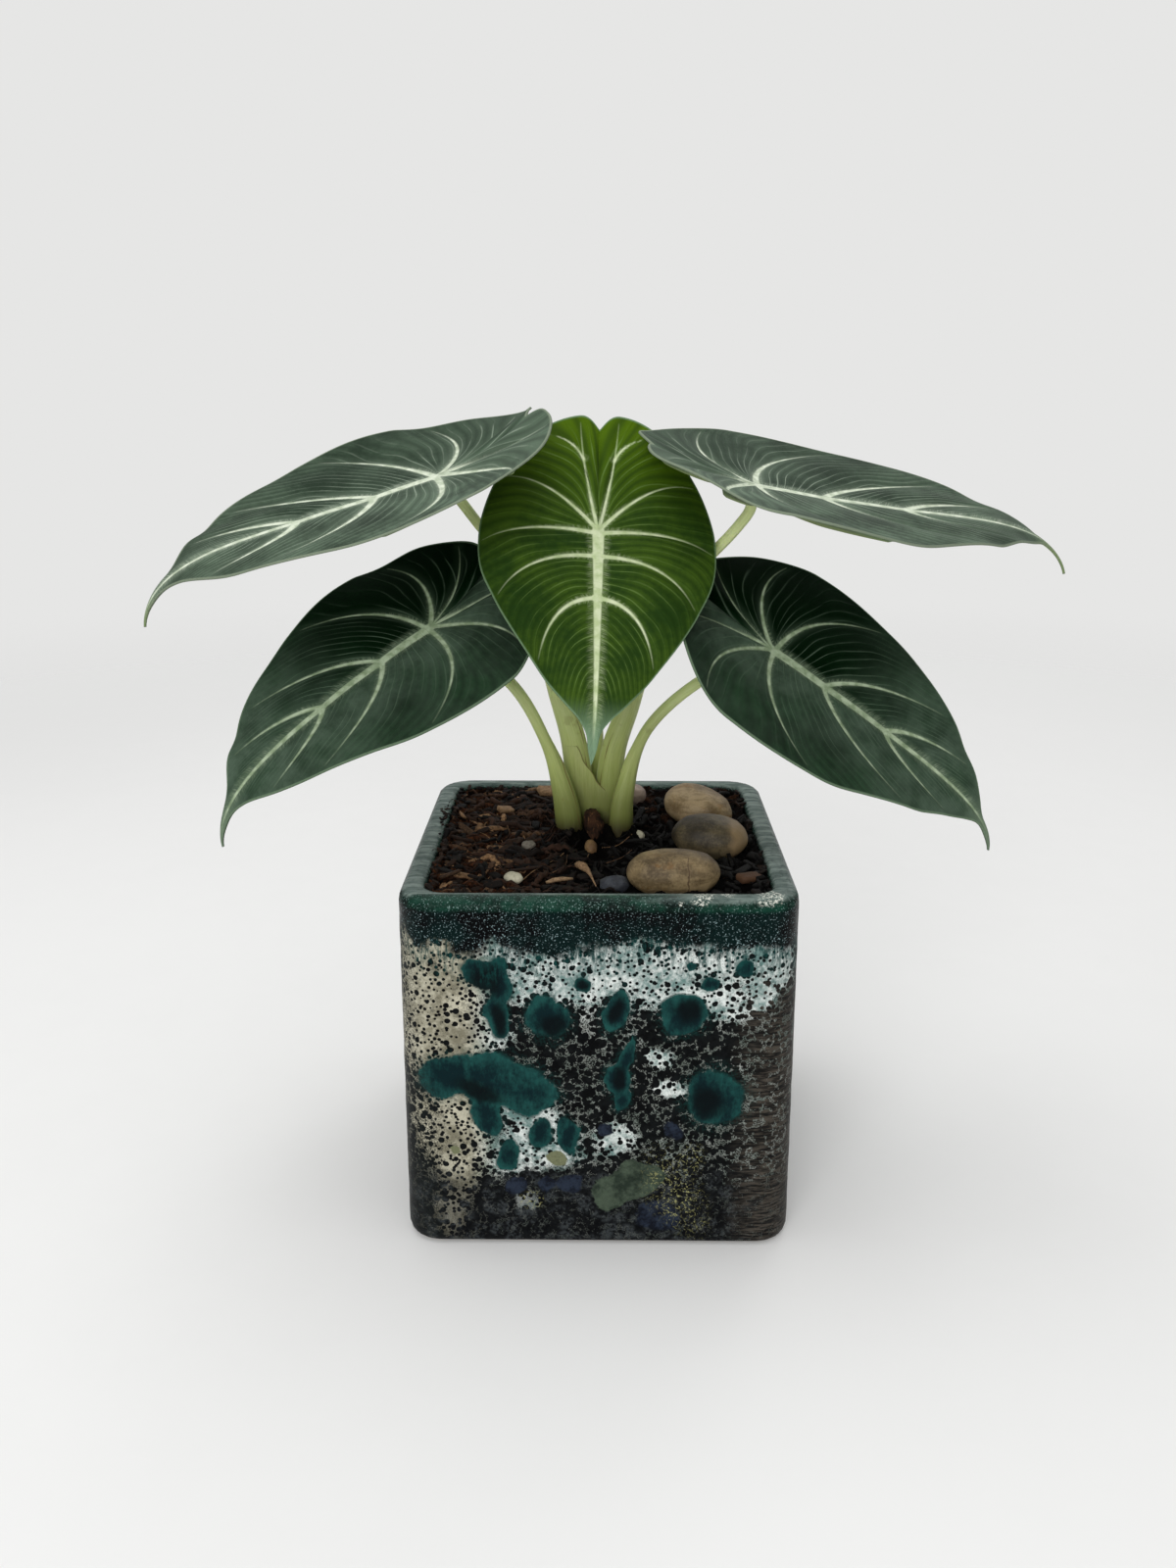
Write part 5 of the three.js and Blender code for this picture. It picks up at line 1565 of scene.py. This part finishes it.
# Pale fibre only on the ridges: partly the fibre's own colour, partly painted highlight.
fibres = noise_at(tree, stretch(tree, point, (0.35, 1.6, 1.0)), 1.0, 4.0, 0.7)
pale = times(tree, fade(tree, fibres, 0.6, 0.72), high)
pale = times(tree, pale, plus(tree, 0.15, times(tree, dry, 0.7)))
ground = blend(tree, pale, ground, colour(132, 98, 66))
set_shader(tree, shader, Base_Color=ground, Roughness=0.82, Specular_IOR_Level=0.05)
add_bump(tree, shader, noise_at(tree, point, 1.8, 4.0, 0.7), 0.9, 0.7)
soil.data.materials.append(bark_mix)
finish_piece(soil, "soil", "soil")

# %% [markdown]
# ## River pebbles and grains
# A river pebble is a lump of stone ground down on all sides: fuller than a ball at its ends, with broad flat
# faces. Each starts as an icosphere, is swelled towards a box a little, sized, roughened and turned. The
# slate chip is cut down to a few flat faces with small bevels as well.

# %% Stones and grains: middle, half sizes, turn, tilt, boxiness, height of the lumps
STONES = {
    "pebble_front": ((18.9, -34.6, 99.4), (11.9, 7.2, 5.8), 0, (0, 0), 0.14, 0.3),
    "pebble_middle": ((30.4, -7.6, 99.3), (10.4, 8, 5.7), -0.2, (0.1, 0.05), 0.1, 0.5),
    "pebble_back": ((28.9, 16.8, 99.6), (10.6, 7.4, 5.8), -0.62, (0.1, 0.2), 0.1, 0.5),
    "pebble_small": ((9.5, 33.8, 97.8), (5, 4.2, 3.4), 0.3, (0, 0), 0.05, 0.4),
    "slate_chip": ((4.1, -36, 96.3), (3.9, 2.9, 2.4), -0.2, (0.2, 0), 0.2, 1.3),
    "perlite_oval": ((-21.9, -31.5, 96.5), (2.9, 1.9, 1.3), -0.7, (0.3, 0), 0.0, 0.3),
    "perlite_round": ((11.2, -0.1, 96.8), (1.6, 1.5, 1.5), 0, (0, 0), 0.0, 0.35),
    "perlite_grey": ((-19.4, -7.8, 96.7), (2, 1.5, 1.2), 0.6, (0, 0), 0.1, 0.5),
    "cormlet": ((-2.2, -8.6, 96.4), (1.7, 2.5, 2), 0.1, (0.3, 0), 0.0, 0.25)}
LARGE_STONE = 6


def build_stone(name, centre, half, turn, tilt, boxy, lumps):
    bpy.ops.object.select_all(action="DESELECT")
    bpy.ops.mesh.primitive_ico_sphere_add(subdivisions=6 if half[0] > LARGE_STONE else 5, radius=MM)
    stone = bpy.context.active_object
    stone.name = name
    if boxy:
        apply_modifier(stone, "CAST", cast_type="CUBOID", factor=boxy, size=MM, use_radius_as_size=False)
    stone.scale = half
    apply_place(stone)
    rough = bpy.data.textures.new(f"{name}_lumps", "CLOUDS")
    rough.noise_scale = min(half) * 0.9 * MM
    apply_modifier(stone, "DISPLACE", texture=rough, strength=lumps * MM, texture_coords="LOCAL")
    if name == "slate_chip":
        apply_modifier(stone, "DECIMATE", ratio=0.006)
        apply_modifier(stone, "BEVEL", width=0.16 * MM, segments=2, limit_method="ANGLE")
    bpy.ops.object.shade_smooth_by_angle(angle=math.radians(40))
    stone.rotation_euler = Euler((*tilt, turn), "XYZ")
    stone.location = [value * MM for value in centre]
    apply_place(stone)
    return stone


stones = {name: build_stone(name, *facts) for name, facts in STONES.items()}
print(len(stones), "stones and grains")

# %% [markdown]
# The stones are smooth, matt and veined: faint curved bands, a few rusty stains and fine grain.

# %% Stone materials
CRACK_AT = 22.3
TAN_FROM = 33.0


def crack(tree, point, ground):
    """A hairline crack that runs down the front pebble's face."""
    x, y, _ = split_vector(tree, point)
    gap = size_of(tree, plus(tree, minus(tree, x, CRACK_AT), sway_of(tree, point, 0.5, 3.0, 1.6)))
    line = times(tree, fade(tree, gap, 0.22, 0.04), fade(tree, y, -36.5, -38.5))
    return blend(tree, times(tree, line, 0.85), ground, colour(66, 48, 34))


def tan_end(tree, point, ground):
    """The grey pebble is tan at its right end."""
    x = split_vector(tree, point)[0]
    end = fade(tree, plus(tree, x, sway_of(tree, point, 0.25, 4.0, 7.0)), TAN_FROM, TAN_FROM + 4.0)
    return blend(tree, times(tree, end, 0.8), ground, colour(138, 116, 84))


def stone_material(name, light, dark, stain, stain_from=0.55, gloss=0.5, extra=None):
    material, tree, shader, place = new_material(name)
    point = in_mm(tree, place)
    ground, _ = mottle(tree, point, colour(*light), colour(*dark), 0.14, 1.6, 0.35)
    bent = wobble(tree, point, 0.07, 7.0)
    bands = noise_at(tree, stretch(tree, bent, (0.064, 0.16, 0.5), (0.5, 0.2, 0.1)), 1.0, 4.0, 0.65)
    ground = blend(tree, fade(tree, bands, 0.46, 0.62, 0.0, 0.5), ground, colour(*dark))
    stains = fade(tree, noise_at(tree, bent, 0.2, 4.0, 0.7), stain_from, stain_from + 0.14, 0.0, 0.6)
    ground = blend(tree, stains, ground, colour(*stain))
    if extra:
        ground = extra(tree, point, ground)
    set_shader(tree, shader, Base_Color=ground, Roughness=gloss, Specular_IOR_Level=0.25)
    add_bump(tree, shader, noise_at(tree, point, 1.2, 5.0, 0.7), 0.35, 0.35)
    return material


tan_stone = stone_material("tan_stone", (134, 116, 84), (72, 58, 37), (108, 76, 34), extra=crack)
light_stone = stone_material("light_stone", (156, 136, 104), (98, 80, 54), (132, 98, 56))
grey_stone = stone_material("grey_stone", (98, 87, 64), (44, 38, 27), (32, 27, 18), extra=tan_end)
pink_stone = stone_material("pink_stone", (170, 150, 138), (134, 116, 106), (120, 96, 86))
slate_stone = stone_material("slate_stone", (62, 66, 72), (30, 32, 38), (44, 44, 50), gloss=0.6)
perlite = stone_material("perlite", (188, 184, 162), (136, 130, 110), (104, 96, 78), 0.6, 0.8)
grey_grain = stone_material("grey_grain", (134, 128, 116), (92, 86, 76), (70, 64, 56), gloss=0.8)
corm_skin = stone_material("corm_skin", (142, 114, 78), (88, 64, 40), (60, 40, 26), 0.5, 0.6)
for name, finish, slot in (
        ("pebble_front", tan_stone, "pebble_tan"), ("pebble_back", light_stone, "pebble_tan"),
        ("pebble_middle", grey_stone, "pebble_grey"), ("pebble_small", pink_stone, "pebble_pink"),
        ("slate_chip", slate_stone, "slate"), ("perlite_oval", perlite, "perlite"),
        ("perlite_round", perlite, "perlite"), ("perlite_grey", grey_grain, "perlite"),
        ("cormlet", corm_skin, "cormlet")):
    stones[name].name = f"river_{name}" if name.startswith("pebble") else f"loose_{name}"
    stones[name].data.materials.append(finish)
    finish_piece(stones[name], slot, name)

# %% [markdown]
# ## Loose litter
# Potting mix is loose: fine strands of fibre, ribbons of bark, chips and crumbs lie on it. The strands and
# the ribbons are bent rods that follow the soil. One chip is modelled and then copied many times, each
# copy turned and sized at random, and the copies are kept as one piece. Nothing is laid on the crown or
# inside a pebble.


# %% Helpers for litter
WALL_CLEAR = 1.2
CROWN_CLEAR = 11


def ground_at(x, y):
    return float(soil_surface(x, y, *soil_relief(x, y)))


def is_free(x, y, margin=0.5):
    """Whether litter may lie there: clear of the wall, the corners, the crown and the stones."""
    in_corner = math.hypot(x, y) > SOIL_HALF * 1.36
    if max(abs(x), abs(y)) > SOIL_HALF - WALL_CLEAR or in_corner:
        return False
    if math.hypot(x - CROWN[0], y - CROWN[1]) < CROWN_CLEAR:
        return False
    for name, (centre, half, *_) in STONES.items():
        if math.hypot((x - centre[0]) / (half[0] + margin), (y - centre[1]) / (half[1] + margin)) < 1:
            return False
    return True


def tube(path, radii, sides):
    """A thin rod along a path: its points and its faces."""
    path = np.array(path, float)
    tangent = np.gradient(path, axis=0)
    tangent /= np.linalg.norm(tangent, axis=1, keepdims=True)
    across = np.cross(tangent, [0.13, 0.21, 1])
    across /= np.linalg.norm(across, axis=1, keepdims=True)
    over = np.cross(across, tangent)
    angle = np.linspace(0, 2 * np.pi, sides, endpoint=False)
    radii = np.array(radii, float)[:, None, None]
    ring = across[:, None] * np.cos(angle)[None, :, None] + over[:, None] * np.sin(angle)[None, :, None]
    return (path[:, None] + ring * radii).reshape(-1, 3), ring_faces(len(path), sides)


def gather(name, parts, shades):
    """Many small bodies as one piece, each with a shade of its own."""
    points = []
    faces = []
    shade = []
    for (part_points, part_faces), part_shade in zip(parts, shades):
        base = len(points)
        points.extend(part_points)
        faces.extend(tuple(base + corner for corner in face) for face in part_faces)
        shade.extend([part_shade] * len(part_points))
    piece = mesh_piece(name, np.array(points) * MM, faces)
    store(piece.data, "shade", shade)
    return piece


def litter_material(name, dark, middle, light, gloss=0.75):
    """Wood or fibre, from dark to light by the shade that each small body carries."""
    material, tree, shader, place = new_material(name)
    point = in_mm(tree, place)
    shade = attribute(tree, "shade")
    ground = blend(tree, fade(tree, shade, 0.0, 0.6), colour(*dark), colour(*middle))
    ground = blend(tree, fade(tree, shade, 0.7, 1.0), ground, colour(*light))
    grain = noise_at(tree, point, 1.6, 4.0, 0.7)
    ground = blend(tree, fade(tree, grain, 0.62, 0.38, 0.0, 0.6), ground, colour(*dark))
    set_shader(tree, shader, Base_Color=ground, Roughness=gloss, Specular_IOR_Level=0.18)
    add_bump(tree, shader, grain, 0.6, 0.3)
    return material


print("the soil before the crown is", round(ground_at(0, -20), 1), "mm above the foot")


# %% Strands of fibre and ribbons of bark
STRAND_COUNT = 420
RIBBON_COUNT = 190
LITTER_REACH = 42


def lay_strand(length, thick, steps):
    """A strand that starts somewhere on the soil, or nothing if it would run into something."""
    x, y = chance.uniform(-LITTER_REACH, LITTER_REACH), chance.uniform(-LITTER_REACH, LITTER_REACH)
    leftness = leftness_at(x, -12, 5)
    if not is_free(x, y):
        return None
    fan_angle = math.atan2(y - CROWN[1], x - CROWN[0])
    heading = chance.gauss(0, 0.5) if chance.random() < leftness else fan_angle + chance.gauss(0, 0.6)
    bend = chance.gauss(0, 0.11)
    length *= 0.6 + leftness * 0.6
    arch = chance.uniform(0.1, 0.6)
    path = []
    for step in range(steps):
        share = step / (steps - 1)
        path.append((x, y, ground_at(x, y) + 0.12 + thick * 0.4 + arch * math.sin(share * math.pi) ** 2))
        heading += bend + chance.gauss(0, 0.12)
        x += math.cos(heading) * length / steps
        y += math.sin(heading) * length / steps
    if not all(is_free(px, py, 0.2 + thick) for px, py, _ in path):
        return None
    radii = [thick * (1 - 0.75 * abs(2 * step / (steps - 1) - 1) ** 3) for step in range(steps)]
    # Away from the left a strand is darker: partly damp, partly painted shade under the leaves.
    return tube(path, radii, 6), chance.random() ** 1.3 * (0.06 + 0.94 * leftness)


def lay_many(count, lengths, thicknesses, steps):
    laid = []
    while len(laid) < count:
        strand = lay_strand(chance.uniform(*lengths), chance.uniform(*thicknesses), steps)
        if strand:
            laid.append(strand)
    return laid


chance = random.Random(21)
laid = lay_many(STRAND_COUNT, (3, 14), (0.1, 0.28), 11)
laid += lay_many(RIBBON_COUNT, (5, 15), (0.35, 0.95), 13)
strands = gather("fibre_strands", [part for part, _ in laid], [shade for _, shade in laid])
strands.data.materials.append(litter_material("fibre", (3, 2, 1), (58, 36, 23), (160, 124, 88)))
finish_piece(strands, "soil")

# %% Model one bark chip
bpy.ops.object.select_all(action="DESELECT")
bpy.ops.mesh.primitive_cube_add(size=2 * MM)
chip = bpy.context.active_object
bpy.ops.object.mode_set(mode="EDIT")
bpy.ops.mesh.select_all(action="SELECT")
bpy.ops.mesh.subdivide(number_cuts=2)
bpy.ops.mesh.vertices_smooth(factor=0.5, repeat=1)
bpy.ops.object.mode_set(mode="OBJECT")
chip_noise = bpy.data.textures.new("chip_noise", "CLOUDS")
chip_noise.noise_scale = 1.1 * MM
apply_modifier(chip, "DISPLACE", texture=chip_noise, strength=0.9 * MM, texture_coords="LOCAL")
chip_points = np.array([vertex.co[:] for vertex in chip.data.vertices]) / MM
chip_faces = [tuple(face.vertices) for face in chip.data.polygons]
bpy.data.objects.remove(chip)
print("one chip has", len(chip_faces), "faces")


# %% Lay crumbs, splinters, crumbs along the wall and a few on the rim
CRUMB_COUNT = 330
SPLINTER_COUNT = 140
WALL_CRUMB_COUNT = 170
RIM_CRUMB_COUNT = 34
WALL_LINE = 43.1
RIM_LINE = -44.2


def place_chip(centre, half, turn):
    turned = np.array(Euler(turn).to_matrix())
    return (chip_points * half) @ turned.T + np.array(centre), chip_faces


chip_parts = []
chip_shades = []
while len(chip_parts) < CRUMB_COUNT:
    x, y = chance.uniform(-43, 43), chance.uniform(-43, 43)
    if not is_free(x, y, 1.2):
        continue
    size = chance.uniform(0.6, 1.0) * (2.2 if chance.random() < 0.25 else 1.2)
    half = (size, size * chance.uniform(0.35, 0.7), size * chance.uniform(0.15, 0.35))
    turn = (chance.gauss(0, 0.35), chance.gauss(0, 0.35), chance.uniform(0, math.pi))
    chip_parts.append(place_chip((x, y, ground_at(x, y) + half[2] * 0.5), half, turn))
    # Away from the left and the back a crumb is darker: partly damp, partly painted shade under the leaves.
    chip_shades.append(chance.random() ** 1.6 * (0.9 if x < -16 or y > 20 else 0.06))
while len(chip_parts) < CRUMB_COUNT + SPLINTER_COUNT:
    x, y = chance.uniform(-LITTER_REACH, LITTER_REACH), chance.uniform(-LITTER_REACH, LITTER_REACH)
    leftness = leftness_at(x, -12, 5)
    if not is_free(x, y, 2.2) or chance.random() > 0.35 + 0.65 * leftness:
        continue
    half = (chance.uniform(1.6, 4.4), chance.uniform(0.45, 1.0), chance.uniform(0.25, 0.5))
    heading = chance.gauss(0, 0.45) if chance.random() < leftness else chance.uniform(0, math.pi)
    turn = (chance.gauss(0, 0.5), chance.gauss(0, 0.22), heading)
    chip_parts.append(place_chip((x, y, ground_at(x, y) + half[2] * 0.9), half, turn))
    # Away from the left a splinter is darker: partly damp, partly painted shade under the leaves.
    chip_shades.append(chance.random() * (0.06 + 0.94 * leftness))
while len(chip_parts) < CRUMB_COUNT + SPLINTER_COUNT + WALL_CRUMB_COUNT:
    along = chance.uniform(-41, 41)
    off = WALL_LINE - abs(chance.gauss(0, 0.8))
    x, y = chance.choice([(-off, along), (-off, along), (off, along), (along, off), (along, -off)])
    if not is_free(x * 0.9, y * 0.9, 0.4):
        continue
    size = chance.uniform(0.5, 1.5)
    half = (size, size * chance.uniform(0.3, 0.6), size * chance.uniform(0.2, 0.4))
    turn = (chance.gauss(0, 0.5), chance.gauss(0, 0.5), chance.uniform(0, math.pi))
    chip_parts.append(place_chip((x, y, chance.uniform(96.4, 97.6)), half, turn))
    # Away from the left and the back a crumb is darker: partly damp, partly painted shade under the leaves.
    chip_shades.append(chance.random() * (0.8 if x < -12 or y > 20 else 0.3))
for _ in range(RIM_CRUMB_COUNT):
    along = chance.gauss(14, 6) if chance.random() < 0.7 else chance.uniform(-30, 30)
    spot = (RIM_LINE - abs(chance.gauss(0, 1.0)), along)
    size = chance.uniform(0.2, 0.6)
    half = (size, size * 0.6, size * 0.35)
    turn = (chance.gauss(0, 0.3), chance.gauss(0, 0.3), chance.uniform(0, math.pi))
    chip_parts.append(place_chip((*spot, POT_HEIGHT + half[2] * 0.8), half, turn))
    chip_shades.append(chance.random() * 0.6)
chips = gather("bark_chips", chip_parts, chip_shades)
chips.data.materials.append(litter_material("bark", (3, 2, 1), (46, 30, 20), (150, 116, 82)))
finish_piece(chips, "soil")

# %% A stick, a husk, a pale chip and fine roots, each where it lies in the photograph
stick = gather("tan_stick", [tube([(-13.4, -34.6, 96.5), (-11.5, -34.0, 96.9), (-9.2, -33.3, 97.0),
                                   (-6.6, -32.5, 96.7)], (0.35, 0.62, 0.58, 0.3), 10)], [0.8])
husk_path = [(-6.2, -23.2, 97.0), (-5.2, -24.6, 97.5), (-4.0, -26.2, 97.6), (-2.9, -27.8, 97.2),
             (-1.9, -31.4, 96.9), (-0.6, -37.2, 96.4)]
husk = gather("seed_husk", [tube(husk_path, (0.4, 1.0, 1.15, 0.7, 0.3, 0.12), 12)], [0.75])
pale_chip = gather("pale_chip", [place_chip((-15.8, 38.6, 97.4), (3.2, 2.0, 0.9), (0.3, 0.1, 0.2)),
                                 place_chip((-27.8, 21.7, 97.0), (2.4, 1.5, 0.7), (0.2, 0.2, 0.5)),
                                 place_chip((38.6, -31.6, 96.8), (3.4, 1.6, 0.9), (0.2, 0.1, 0.5))],
                   [0.6, 0.45, 0.05])
ROOT_HAIRS = [
    [(-19.4, -31.9), (-16.9, -25.7), (-13.1, -21.3), (-10.8, -15.7), (-7.8, -8.1)],
    [(0.8, -8.8), (5.1, -6.4), (9.2, -2.8)], [(-45.0, -13.0), (-40.2, -13.0), (-32.6, -17.8), (-25.6, -23.0)],
    [(-6.0, -20.0), (-3.9, -18.5), (-2.7, -13.3)], [(2.0, -20.0), (6.0, -16.0), (9.0, -10.0)],
    [(-12.0, -27.0), (-9.0, -22.0), (-8.5, -14.0)]]
HAIR_STEPS = 26
hair_parts = []
for path in ROOT_HAIRS:
    route, _ = smooth_route([(x, y, max(ground_at(x, y) + 0.35, 96.2)) for x, y in path], HAIR_STEPS)
    hair_parts.append(tube(route, 0.12 + 0.04 * np.sin(np.arange(HAIR_STEPS) * 1.3), 6))
hairs = gather("root_hairs", hair_parts, [0.5, 0.3, 0.3, 0.3, 0.1, 0.2])
wood_look = litter_material("dry_wood", (70, 48, 32), (140, 112, 82), (184, 160, 126), 0.65)
for piece in (stick, husk, pale_chip, hairs):
    piece.data.materials.append(wood_look)
    finish_piece(piece, "soil")
